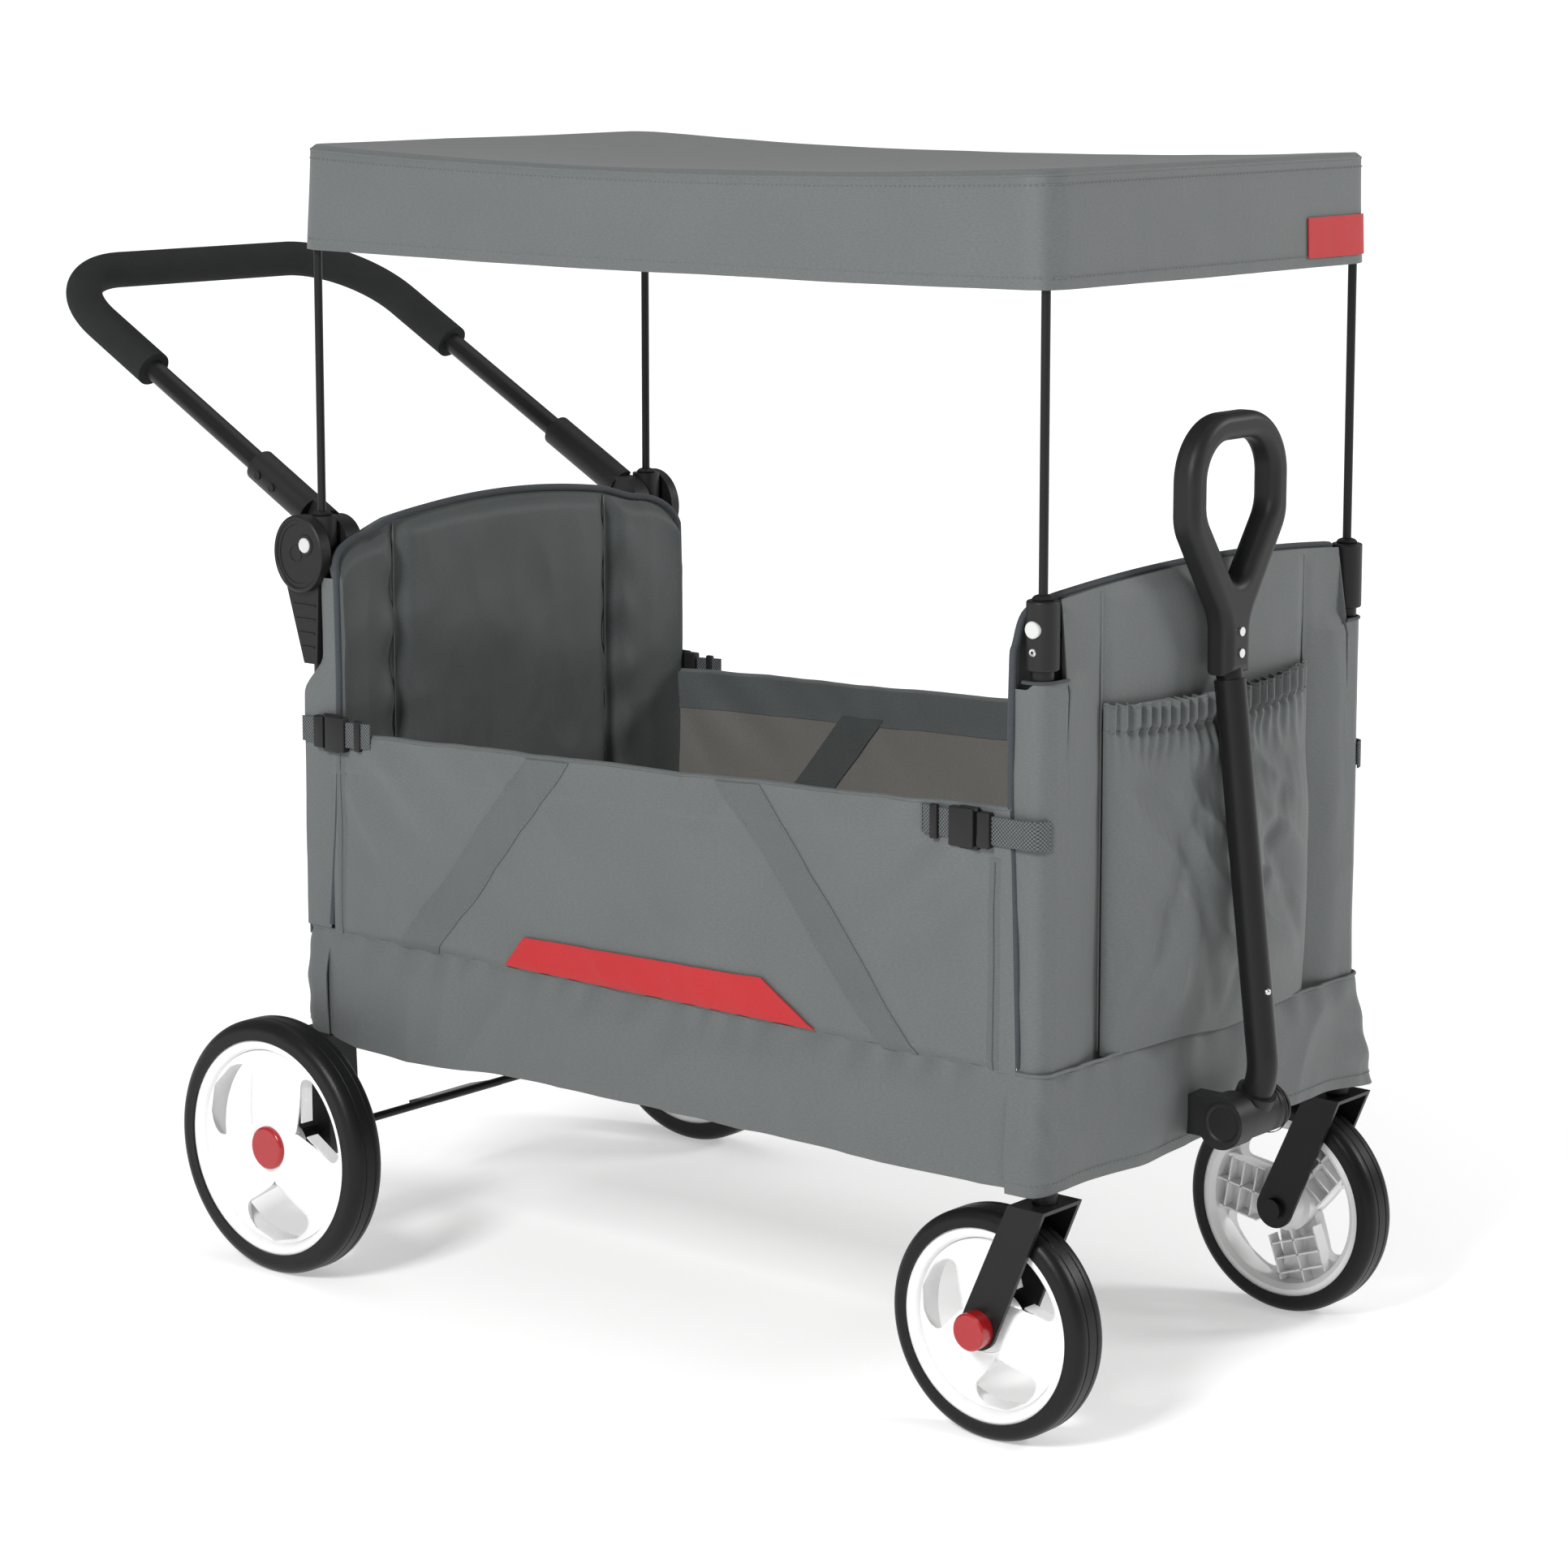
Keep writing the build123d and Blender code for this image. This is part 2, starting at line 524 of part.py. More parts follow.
# --- skirt and side walls -------------------------------------------------------------

SKIRT_TOP_Z = DECK_Z - 1.0
SKIRT_FRONT_X = FRONT_X + 12.3
SKIRT_REAR_X = REAR_X - POST_R - 0.3
with BuildPart() as side_skirts:
    for side, name in SIDES:
        block(side, (SKIRT_REAR_X, SKIRT_FRONT_X - AIR), (HEM_Z, SKIRT_TOP_Z),
              WALL_IN + 0.3, WALL_IN + 0.3 + CLOTH)
save(side_skirts, "side_skirts")

PULL_BLOCK_LOW, PULL_BLOCK_HIGH = -45.0, -20.0
with BuildPart() as front_skirt:
    with BuildSketch(Plane.YZ.offset(SKIRT_FRONT_X)):
        with Locations((0, (HEM_Z + SKIRT_TOP_Z) / 2)):
            Rectangle(2 * (WALL_IN + 0.3 + CLOTH), SKIRT_TOP_Z - HEM_Z)
        with Locations(((PULL_BLOCK_LOW + PULL_BLOCK_HIGH) / 2, PULL_PIVOT_Z)):
            Rectangle(PULL_BLOCK_HIGH - PULL_BLOCK_LOW + 1, 41, mode=Mode.SUBTRACT)
    extrude(amount=CLOTH)
save(front_skirt, "front_skirt")

with BuildPart() as rear_skirt:
    with BuildSketch(Plane.YZ.offset(SKIRT_REAR_X - AIR - CLOTH)):
        with Locations((0, (HEM_Z + SKIRT_TOP_Z) / 2)):
            Rectangle(2 * (WALL_IN + 0.3 + CLOTH), SKIRT_TOP_Z - HEM_Z)
    extrude(amount=CLOTH)
save(rear_skirt, "rear_skirt")

WALL_REAR_X, WALL_FRONT_X = REAR_X + 31.5, FRONT_X - 28.5
for side, name in SIDES:
    with BuildPart() as side_wall:
        block(side, (WALL_REAR_X, WALL_FRONT_X), (SKIRT_TOP_Z + AIR, WALL_TOP_Z),
              WALL_IN, WALL_IN + WALL_THICK)
        fillet(side_wall.edges().filter_by(Axis.Y), 6)
    save(side_wall, f"side_wall_{name}")

# --- canopy -----------------------------------------------------------------------------

HOOP_BEND = 20.0
HOOP_TOP_Z = CANOPY_TOP_Z - CANOPY_THICK - POLE_R - AIR
for end_x, inward, end in ENDS:
    pole_low = (POST_TOP_Z + 3.3) if end == "rear" else (POST_TOP_Z - 0.7)
    with BuildPart() as hoop:
        with BuildLine(Plane.YZ.offset(end_x)) as hoop_line:
            FilletPolyline((-POST_Y, pole_low), (-POST_Y, HOOP_TOP_Z),
                           (POST_Y, HOOP_TOP_Z), (POST_Y, pole_low), radius=HOOP_BEND)
        with BuildSketch(Plane.XY.offset(pole_low)):
            with Locations((end_x, -POST_Y)):
                Circle(POLE_R)
        sweep()
    save(hoop, f"canopy_hoop_{end}")

CANOPY_HALF_X = POST_SPAN / 2 + CANOPY_OUT
CANOPY_HALF_Y = POST_Y + CANOPY_OUT
with BuildPart() as canopy_cover:
    with BuildSketch(Plane.XY.offset(CANOPY_TOP_Z - CANOPY_DROP)):
        with Locations((BODY_X, 0)):
            RectangleRounded(2 * CANOPY_HALF_X, 2 * CANOPY_HALF_Y, CANOPY_CORNER)
    extrude(amount=CANOPY_DROP)
    with BuildSketch(Plane.XY.offset(CANOPY_TOP_Z - CANOPY_DROP)):
        with Locations((BODY_X, 0)):
            RectangleRounded(2 * (CANOPY_HALF_X - CANOPY_THICK),
                             2 * (CANOPY_HALF_Y - CANOPY_THICK), CANOPY_CORNER - CANOPY_THICK)
    extrude(amount=CANOPY_DROP - CANOPY_THICK, mode=Mode.SUBTRACT)
save(canopy_cover, "canopy_cover")

# --- rear axle, wheels and casters --------------------------------------------------------

CAP_SEAT = 15.0                    # rear hub's outer face from the wheel's middle
AXLE_END = REAR_WHEEL_Y + CAP_SEAT + 3
with BuildPart() as rear_axle:
    for side, name in SIDES:
        rod(side, REAR_AXLE_X, REAR_WHEEL_R, REAR_AXLE_R, 0, AXLE_END)
save(rear_axle, "rear_axle")

REAR_CAP_R = 21.0
with BuildPart() as rear_axle_caps:
    for side, name in SIDES:
        face = REAR_WHEEL_Y + CAP_SEAT + AIR
        rod(side, REAR_AXLE_X, REAR_WHEEL_R, REAR_CAP_R, face, face + 5)
    fillet(rear_axle_caps.faces().filter_by(Axis.Y).sort_by(Axis.Y)[0].edges(), 3)
    fillet(rear_axle_caps.faces().filter_by(Axis.Y).sort_by(Axis.Y)[-1].edges(), 3)
    for side, name in SIDES:
        rod(side, REAR_AXLE_X, REAR_WHEEL_R, REAR_AXLE_R, REAR_WHEEL_Y, AXLE_END, Mode.SUBTRACT)
save(rear_axle_caps, "rear_axle_caps")


def tyre_solid(centre, radius, bore):
    """Solid tyre with a rounded tread and three grooves, its axis along Y."""
    with BuildSketch(Plane(centre)) as section:
        with Locations(((radius + bore) / 2, 0)):
            Rectangle(radius - bore, WHEEL_W)
        fillet(section.vertices().group_by(Axis.X)[-1], min(11, (radius - bore) * 0.6))
        with Locations((radius, -6), (radius, 6), (radius - 2.3, -12.5), (radius - 2.3, 12.5)):
            Circle(0.9, mode=Mode.SUBTRACT)
    revolve(section.sketch, axis=Axis(centre, (0, 1, 0)))


def rim_solid(centre, radius, side, axle_r, hub, spoke_w, spoke_at):
    """Rim with a barrel, a dished web of three broad spokes and a hub. hub: inner and
    outer faces of the hub from the middle plane; spoke_at: angle of one spoke."""
    x, y, z = centre
    with BuildSketch(Plane(centre)) as section:
        with Locations((radius - 2.75, 0)):
            Rectangle(5.5, WHEEL_W - 4)
        with Locations(((radius + 8) / 2, side * 3)):
            Rectangle(radius - 8 - 3, 9)
        with Locations(((axle_r + RUN + 20) / 2, side * (hub[1] - hub[0]) / 2)):
            Rectangle(20 - axle_r - RUN, hub[0] + hub[1])
    revolve(section.sketch, axis=Axis(centre, (0, 1, 0)))
    with BuildSketch(Plane((x, y, z), x_dir=(1, 0, 0), z_dir=(0, -1, 0))) as windows:
        Circle(radius - 12)
        Circle(30, mode=Mode.SUBTRACT)
        with PolarLocations(0, 3, start_angle=spoke_at):
            with Locations((radius / 2, 0)):
                Rectangle(radius, spoke_w, mode=Mode.SUBTRACT)
        fillet(windows.vertices(), 6)
    extrude(windows.sketch, amount=15, both=True, mode=Mode.SUBTRACT)


for side, name in SIDES:
    wheel_at = (REAR_AXLE_X, side * REAR_WHEEL_Y, REAR_WHEEL_R)
    with BuildPart() as rear_tyre:
        tyre_solid(wheel_at, REAR_WHEEL_R, REAR_RIM_R)
    save(rear_tyre, f"rear_tyre_{name}")
    with BuildPart() as rear_rim:
        rim_solid(wheel_at, REAR_RIM_R, side, REAR_AXLE_R, (22, CAP_SEAT), 60, 90)
    save(rear_rim, f"rear_rim_{name}")

SPOKE_AT = {"left": 50, "right": 105}
for side, name in SIDES:
    wheel_at = (CASTER_AXLE_X, side * CASTER_Y, FRONT_WHEEL_R)
    leg_out = FORK_IN + FORK_T
    with BuildPart() as fork:
        for half, top, mode in ((leg_out, FORK_TOP_Z, Mode.ADD),
                                (FORK_IN, FORK_TOP_Z - FORK_T, Mode.SUBTRACT)):
            lean = atan2(CASTER_TRAIL, top - FRONT_WHEEL_R)
            dx, dz = FORK_W / 2 * cos(lean), FORK_W / 2 * sin(lean)
            grow = 0.0 if mode == Mode.ADD else 30.0
            with BuildSketch(Plane.XZ.offset(-(side * CASTER_Y + half))):
                with BuildLine():
                    Polyline((CASTER_X - FORK_W / 2 - grow, top), (CASTER_X + FORK_W / 2 + grow, top),
                             (CASTER_AXLE_X + dx + grow, FRONT_WHEEL_R - dz - grow),
                             (CASTER_AXLE_X - dx - grow, FRONT_WHEEL_R + dz - grow), close=True)
                make_face()
                with Locations((CASTER_AXLE_X, FRONT_WHEEL_R)):
                    Circle(FORK_W / 2 + grow)
            extrude(amount=2 * half, mode=mode)
        column(CASTER_X, side * CASTER_Y, STEM_R, FORK_TOP_Z - 1, FRONT_POST_LOW_Z - 5)
        rod(side, CASTER_AXLE_X, FRONT_WHEEL_R, FRONT_AXLE_R, CASTER_Y - leg_out - 1,
            CASTER_Y + leg_out + 1, Mode.SUBTRACT)
    save(fork, f"caster_fork_{name}")

    with BuildPart() as front_axle:
        rod(side, CASTER_AXLE_X, FRONT_WHEEL_R, FRONT_AXLE_R, CASTER_Y - leg_out,
            CASTER_Y + leg_out + 8)
        rod(side, CASTER_AXLE_X, FRONT_WHEEL_R, 10, CASTER_Y - leg_out - 6, CASTER_Y - leg_out)
    save(front_axle, f"front_axle_{name}")

    with BuildPart() as front_cap:
        rod(side, CASTER_AXLE_X, FRONT_WHEEL_R, 16.5, CASTER_Y + leg_out, CASTER_Y + leg_out + 14)
        chamfer(front_cap.faces().sort_by(Axis.Y)[-1 if side > 0 else 0].edges(), 1.5)
        rod(side, CASTER_AXLE_X, FRONT_WHEEL_R, FRONT_AXLE_R, CASTER_Y, CASTER_Y + leg_out + 8,
            Mode.SUBTRACT)
    save(front_cap, f"front_axle_cap_{name}")

    with BuildPart() as front_tyre:
        tyre_solid(wheel_at, FRONT_WHEEL_R, FRONT_RIM_R)
    save(front_tyre, f"front_tyre_{name}")
    with BuildPart() as front_rim:
        rim_solid(wheel_at, FRONT_RIM_R, side, FRONT_AXLE_R, (FORK_IN - 0.4, FORK_IN - 0.4),
                  46, SPOKE_AT[name])
    save(front_rim, f"front_rim_{name}")

# --- parking brake: a foot bar across the back, hinged on the rear brackets -----------------

BRAKE_ARM_IN, BRAKE_ARM_OUT = 214.0, 221.0
BRAKE_BAR_X, BRAKE_BAR_Z, BRAKE_BAR_R = REAR_X - 46.5, 105.0, 4.0
with BuildPart() as brake_bar:
    slope = atan2(BRAKE_BAR_Z - BRAKE_Z, BRAKE_BAR_X - BRAKE_X)
    length = sqrt((BRAKE_BAR_Z - BRAKE_Z) ** 2 + (BRAKE_BAR_X - BRAKE_X) ** 2)
    for side, name in SIDES:
        with BuildSketch(across(side, BRAKE_ARM_IN, BRAKE_ARM_OUT)):
            with Locations(Location(((BRAKE_X + BRAKE_BAR_X) / 2, (BRAKE_Z + BRAKE_BAR_Z) / 2),
                                    degrees(slope))):
                SlotCenterToCenter(length, 16)
        extrude(amount=BRAKE_ARM_OUT - BRAKE_ARM_IN)
        rod(side, BRAKE_X, BRAKE_Z, BRAKE_PIN_R, BRAKE_ARM_IN, POST_Y - POST_R + 5)
        rod(side, BRAKE_BAR_X, BRAKE_BAR_Z, BRAKE_BAR_R, 0, BRAKE_ARM_IN + 1)
    with BuildSketch(Plane.XZ.offset(-45)):
        with Locations(Location((BRAKE_BAR_X - 14, BRAKE_BAR_Z - 4), 16)):
            Rectangle(46, 7)
    extrude(amount=90)
save(brake_bar, "brake_bar")

# --- push handle ------------------------------------------------------------------------------
# The tube, the foam grip round its bends, and a plastic connector with a
# knuckle at each end that turns on the hub's stub.

tube_base = (HUB_X, HUB_Z + PUSH_RISE)
CONNECT_R = 16.5
CONNECT_FROM, CONNECT_TO = 30.0, 114.0
TUBE_FROM = 62.0
GRIP_FROM = 291.0
RIVET_R, RIVET_AT = 4.0, (76.0, 98.0)
RIVET_SEAT = PUSH_HALF + CONNECT_R - 4.0
push_plane = Plane((tube_base[0], 0, tube_base[1]), x_dir=(0, 1, 0),
                   z_dir=(-push_s, 0, -push_c))


def along(distance):
    """Point in X and Z on the push handle's line."""
    return tube_base[0] - distance * push_c, tube_base[1] + distance * push_s


def arm_plane(side, distance):
    """Plane across a handle arm, facing along it."""
    x, z = along(distance)
    return Plane((x, side * PUSH_HALF, z), x_dir=(0, 1, 0), z_dir=(-push_c, 0, push_s))


push_sign = 1 if push_plane.y_dir.Z > 0 else -1


def handle_line(start):
    """Path of the handle from one arm, round the grip bar, to the other arm."""
    low = push_sign * start
    far = push_sign * PUSH_REACH
    FilletPolyline((PUSH_HALF, low), (PUSH_HALF, far), (-PUSH_HALF, far), (-PUSH_HALF, low),
                   radius=GRIP_BEND)


with BuildPart() as push_tube:
    with BuildLine(push_plane) as tube_line:
        handle_line(TUBE_FROM)
    with BuildSketch(arm_plane(1, TUBE_FROM)):
        Circle(PUSH_R)
    sweep()
save(push_tube, "push_tube")

with BuildPart() as foam_grip:
    with BuildLine(push_plane) as grip_line:
        handle_line(GRIP_FROM)
    with BuildSketch(arm_plane(1, GRIP_FROM)):
        Circle(GRIP_R)
        Circle(PUSH_R, mode=Mode.SUBTRACT)
    sweep()
save(foam_grip, "foam_grip")

with BuildPart() as handle_connectors:
    for side, name in SIDES:
        with BuildSketch(arm_plane(side, 8.0)):
            Circle(CONNECT_R)
        extrude(amount=CONNECT_FROM - 8.0)
        cut = across(side, KNUCKLE_OUT, KNUCKLE_OUT + 20)
        with BuildSketch(cut):
            with Locations((HUB_X, HUB_Z)):
                Circle(60)
        extrude(amount=20, mode=Mode.SUBTRACT)
        rod(side, HUB_X, HUB_Z, KNUCKLE_R, KNUCKLE_IN, KNUCKLE_OUT)
    for side, name in SIDES:
        with BuildSketch(arm_plane(side, CONNECT_FROM)):
            Circle(CONNECT_R)
        extrude(amount=CONNECT_TO - CONNECT_FROM)
    for side, name in SIDES:
        with BuildSketch(arm_plane(side, TUBE_FROM)):
            Circle(PUSH_R)
        extrude(amount=CONNECT_TO, mode=Mode.SUBTRACT)
        rod(side, HUB_X, HUB_Z, PIVOT_STUB_R + RUN, KNUCKLE_IN - 1, KNUCKLE_OUT + 1,
            Mode.SUBTRACT)
        for distance in RIVET_AT:
            rod(side, *along(distance), RIVET_R, RIVET_SEAT, PUSH_HALF + CONNECT_R + 1,
                Mode.SUBTRACT)
save(handle_connectors, "handle_connectors")

with BuildPart() as handle_rivets:
    for side, name in SIDES:
        for distance in RIVET_AT:
            rod(side, *along(distance), RIVET_R, RIVET_SEAT, PUSH_HALF + CONNECT_R + 1.8)
save(handle_rivets, "handle_rivets")

# --- pull handle --------------------------------------------------------------------------------

PULL_PIN_R = 8.0
BARREL_LOW, BARREL_HIGH = PULL_BLOCK_HIGH + AIR, 33.0
with BuildPart() as pull_bracket:
    with BuildSketch(Plane.XZ.offset(-PULL_BLOCK_HIGH)):
        with Locations((PULL_X, PULL_PIVOT_Z)):
            Circle(PULL_BARREL_R + 2)
        with Locations(((PULL_X + POCKET_BACK_X) / 2, PULL_PIVOT_Z + 2.5)):
            Rectangle(PULL_X - POCKET_BACK_X, 35)
    extrude(amount=PULL_BLOCK_HIGH - PULL_BLOCK_LOW)
    with BuildSketch(Plane.XZ.offset(-BARREL_HIGH)):
        with Locations((PULL_X, PULL_PIVOT_Z)):
            Circle(PULL_PIN_R)
    extrude(amount=BARREL_HIGH - PULL_BLOCK_HIGH)
save(pull_bracket, "pull_bracket")

kick, lean = radians(PULL_KICK), radians(PULL_LEAN)
PULL_Y = 0.0                       # middle of the handle's tube, on its barrel
knee = (PULL_X + PULL_KNEE * sin(kick), PULL_PIVOT_Z + PULL_KNEE * cos(kick))
top_x = knee[0] - (PULL_TOP_Z - knee[1]) * tan(lean)
foot = (PULL_X + 10 * sin(kick), PULL_PIVOT_Z + 10 * cos(kick))
INNER_TUBE_R = 11.9

with BuildPart() as pull_tube:
    with BuildLine(Plane.XZ.offset(-PULL_Y)):
        FilletPolyline(foot, knee, (top_x, PULL_TOP_Z), radius=PULL_KNEE_R)
    with BuildSketch(Plane((foot[0], PULL_Y, foot[1]), x_dir=(0, 1, 0),
                           z_dir=(sin(kick), 0, cos(kick)))):
        Circle(PULL_R)
        Circle(INNER_TUBE_R + RUN, mode=Mode.SUBTRACT)
    sweep()
save(pull_tube, "pull_tube")

with BuildPart() as pull_barrel:
    with BuildSketch(Plane.XZ.offset(-BARREL_HIGH)):
        with Locations((PULL_X, PULL_PIVOT_Z)):
            Circle(PULL_BARREL_R)
    extrude(amount=BARREL_HIGH - BARREL_LOW)
    with BuildSketch(Plane((PULL_X, PULL_Y, PULL_PIVOT_Z), x_dir=(0, 1, 0),
                           z_dir=(sin(kick), 0, cos(kick)))):
        Circle(PULL_R + 4)
    extrude(amount=PULL_BARREL_R + 1.5)
    with BuildSketch(Plane((foot[0], PULL_Y, foot[1]), x_dir=(0, 1, 0),
                           z_dir=(sin(kick), 0, cos(kick)))):
        Circle(PULL_R)
    extrude(amount=40, mode=Mode.SUBTRACT)
    with BuildSketch(Plane.XZ.offset(-BARREL_HIGH - 1)):
        with Locations((PULL_X, PULL_PIVOT_Z)):
            Circle(PULL_PIN_R + RUN)
    extrude(amount=60, mode=Mode.SUBTRACT)
save(pull_barrel, "pull_barrel")


def lean_plane(height):
    """Plane across the stowed handle's line, at a height."""
    x = knee[0] - (height - knee[1]) * tan(lean)
    return Plane((x, PULL_Y, height), x_dir=(0, 1, 0), z_dir=(-sin(lean), 0, cos(lean)))


SLIDE_LOW_Z, NECK_Z = 330.0, 645.0
with BuildPart() as pull_inner_tube:
    with BuildSketch(lean_plane(SLIDE_LOW_Z)):
        Circle(INNER_TUBE_R)
    extrude(amount=(NECK_Z + 24 - SLIDE_LOW_Z) / cos(lean))
save(pull_inner_tube, "pull_inner_tube")

LOOP_X = FRONT_X + 28.0            # middle of the loop's thickness
LOOP_TURN = 58.0                   # outline radius at the loop's top corners
LOOP_SIDE_Z, LOOP_NECK_TOP_Z, NECK_HALF = 776.0, 692.0, 18.5
BAR_W = 24.0                       # width of the loop's bar
HOLE_HALF = LOOP_HALF - BAR_W
HOLE_TOP_Z, HOLE_SIDE_Z, HOLE_LOW_Z = LOOP_TOP_Z - BAR_W, 788.0, 716.0
with BuildPart() as pull_loop:
    with BuildSketch(Plane.YZ.offset(LOOP_X - LOOP_THICK / 2)) as outline:
        with BuildLine():
            Polyline((-LOOP_HALF, LOOP_TOP_Z), (-LOOP_HALF, LOOP_SIDE_Z),
                     (-NECK_HALF, LOOP_NECK_TOP_Z), (-NECK_HALF, NECK_Z),
                     (NECK_HALF, NECK_Z), (NECK_HALF, LOOP_NECK_TOP_Z),
                     (LOOP_HALF, LOOP_SIDE_Z), (LOOP_HALF, LOOP_TOP_Z), close=True)
        make_face()
        fillet(outline.vertices().filter_by(lambda v: v.Y > LOOP_TOP_Z - 1), LOOP_TURN)
        fillet(outline.vertices().filter_by(
            lambda v: NECK_Z + 1 < v.Y < LOOP_SIDE_Z + 1), 42)
    extrude(amount=LOOP_THICK)
    with BuildSketch(Plane.YZ.offset(LOOP_X - LOOP_THICK / 2)) as hole:
        with BuildLine():
            Polyline((-HOLE_HALF, HOLE_TOP_Z), (-HOLE_HALF, HOLE_SIDE_Z), (0, HOLE_LOW_Z),
                     (HOLE_HALF, HOLE_SIDE_Z), (HOLE_HALF, HOLE_TOP_Z), close=True)
        make_face()
        fillet(hole.vertices().filter_by(lambda v: v.Y > HOLE_TOP_Z - 1), LOOP_TURN - BAR_W)
        fillet(hole.vertices().filter_by(
            lambda v: HOLE_SIDE_Z - 1 < v.Y < HOLE_SIDE_Z + 1), 30)
        fillet(hole.vertices().filter_by(lambda v: v.Y < HOLE_LOW_Z + 1), 14)
    extrude(amount=LOOP_THICK, mode=Mode.SUBTRACT)
    rims = pull_loop.faces().filter_by(Axis.X).edges()
    fillet(rims, 9.5)
    with BuildSketch(lean_plane(NECK_Z - 10)):
        Circle(INNER_TUBE_R)
    extrude(amount=34 / cos(lean), mode=Mode.SUBTRACT)
save(pull_loop, "pull_loop")

with BuildPart() as pull_screws:
    for z in (664.0, 683.0):
        with BuildSketch(Plane.YZ.offset(LOOP_X + LOOP_THICK / 2)):
            with Locations((PULL_Y, z)):
                Circle(4)
        extrude(amount=1.5)
save(pull_screws, "pull_screws")
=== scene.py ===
from math import atan2, cos, exp, hypot, pi, radians, sin, sqrt

import bmesh
import bpy
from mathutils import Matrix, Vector, noise


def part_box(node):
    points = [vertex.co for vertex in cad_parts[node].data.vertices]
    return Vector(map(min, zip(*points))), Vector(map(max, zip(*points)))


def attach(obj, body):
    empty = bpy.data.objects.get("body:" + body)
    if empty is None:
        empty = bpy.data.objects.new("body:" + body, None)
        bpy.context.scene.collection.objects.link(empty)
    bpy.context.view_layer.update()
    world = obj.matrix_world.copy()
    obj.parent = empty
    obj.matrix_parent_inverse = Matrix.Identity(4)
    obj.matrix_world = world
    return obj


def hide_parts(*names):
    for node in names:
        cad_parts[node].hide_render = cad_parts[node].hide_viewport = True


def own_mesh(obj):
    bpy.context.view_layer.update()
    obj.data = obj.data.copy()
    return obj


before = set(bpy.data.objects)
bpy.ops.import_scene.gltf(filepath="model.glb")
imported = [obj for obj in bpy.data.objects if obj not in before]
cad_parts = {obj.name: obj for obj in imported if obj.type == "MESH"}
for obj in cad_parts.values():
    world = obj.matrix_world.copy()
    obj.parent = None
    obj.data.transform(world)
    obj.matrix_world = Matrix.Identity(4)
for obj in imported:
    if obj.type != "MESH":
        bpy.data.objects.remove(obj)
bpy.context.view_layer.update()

# Studio: a pale floor under soft light, with the wagon seen from its front right corner at adult
# chest height. The floor isn't part of the wagon. It also glows, which is painted light, and the
# glow is weakest near the wagon, which paints shade round it.
bpy.ops.object.select_all(action="DESELECT")
bpy.ops.mesh.primitive_plane_add(size=3000, location=(0, 0, 0))
floor = bpy.context.object
floor.name = "studio_floor"
paper = bpy.data.materials.new("glowing_pale_paper")
paper.use_nodes = True
paper_shader = paper.node_tree.nodes["Principled BSDF"]
paper_shader.inputs["Base Color"].default_value = (0.86, 0.86, 0.86, 1)
paper_shader.inputs["Roughness"].default_value = 1
paper_shader.inputs["Specular IOR Level"].default_value = 0
paper_shader.inputs["Emission Color"].default_value = (1, 1, 1, 1)
paper_nodes = paper.node_tree.nodes
# painted light: the floor glows, from 0.41 within 0.6 m of the middle to 0.9 from 5 m out, so it is
# darker near the wagon, a painted shade round it
reach = paper_nodes.new("ShaderNodeVectorMath")
reach.operation = "LENGTH"
painted_floor_glow = paper_nodes.new("ShaderNodeMapRange")
painted_floor_glow.inputs["From Min"].default_value, painted_floor_glow.inputs["From Max"].default_value = 0.6, 5.0
painted_floor_glow.inputs["To Min"].default_value, painted_floor_glow.inputs["To Max"].default_value = 0.41, 0.9
for out, into in ((paper_nodes.new("ShaderNodeTexCoord").outputs["Object"], reach.inputs[0]),
                  (reach.outputs["Value"], painted_floor_glow.inputs["Value"]),
                  (painted_floor_glow.outputs["Result"], paper_shader.inputs["Emission Strength"])):
    paper.node_tree.links.new(out, into)
floor.data.materials.append(paper)

scene = bpy.context.scene
scene.view_settings.view_transform = "Standard"
sky = bpy.data.worlds.new("soft_box")
sky.use_nodes = True
sky.node_tree.nodes["Background"].inputs["Color"].default_value = (1, 1, 1, 1)
sky.node_tree.nodes["Background"].inputs["Strength"].default_value = 0.3
scene.world = sky
for name, place, aim, width, power in (
    ("key_light", (0.9, -3.8, 2.9), (0.1, 0, 0.45), 1.0, 150),
    ("front_light", (3.0, 2.8, 2.4), (0.3, 0, 0.5), 1.0, 70),
    ("top_light", (-0.6, 0.8, 4.2), (0, 0, 0.6), 3.0, 26),
):
    bpy.ops.object.light_add(type="AREA", location=place)
    lamp = bpy.context.object
    lamp.name = name
    lamp.rotation_euler = (Vector(aim) - Vector(place)).to_track_quat("-Z", "Y").to_euler()
    lamp.data.size, lamp.data.energy = width, power

bpy.ops.object.camera_add(location=(2.602, -2.930, 1.2307))
camera = bpy.context.object
camera.rotation_euler = (radians(90 - 8.4), 0, radians(40.13))
camera.data.sensor_width, camera.data.lens = 36, 93.75
camera.data.shift_y = -0.12
scene.camera = camera

# Steel frame: round posts with cross tubes, flat scissor bars on both sides, the thin
# hoops that hold the canopy, the handle tubes and the rear axle, all powder coated in
# satin black. Fasteners are left bright. The finish tools that every piece uses start here.


def feed(tree, socket, value):
    """Links a shader value to a socket, or sets a plain number or colour on it."""
    if isinstance(value, Shade):
        tree.links.new(value.socket, socket)
    elif isinstance(value, tuple) and len(value) == 3 and socket.type == "RGBA":
        socket.default_value = (*value, 1)
    else:
        socket.default_value = value


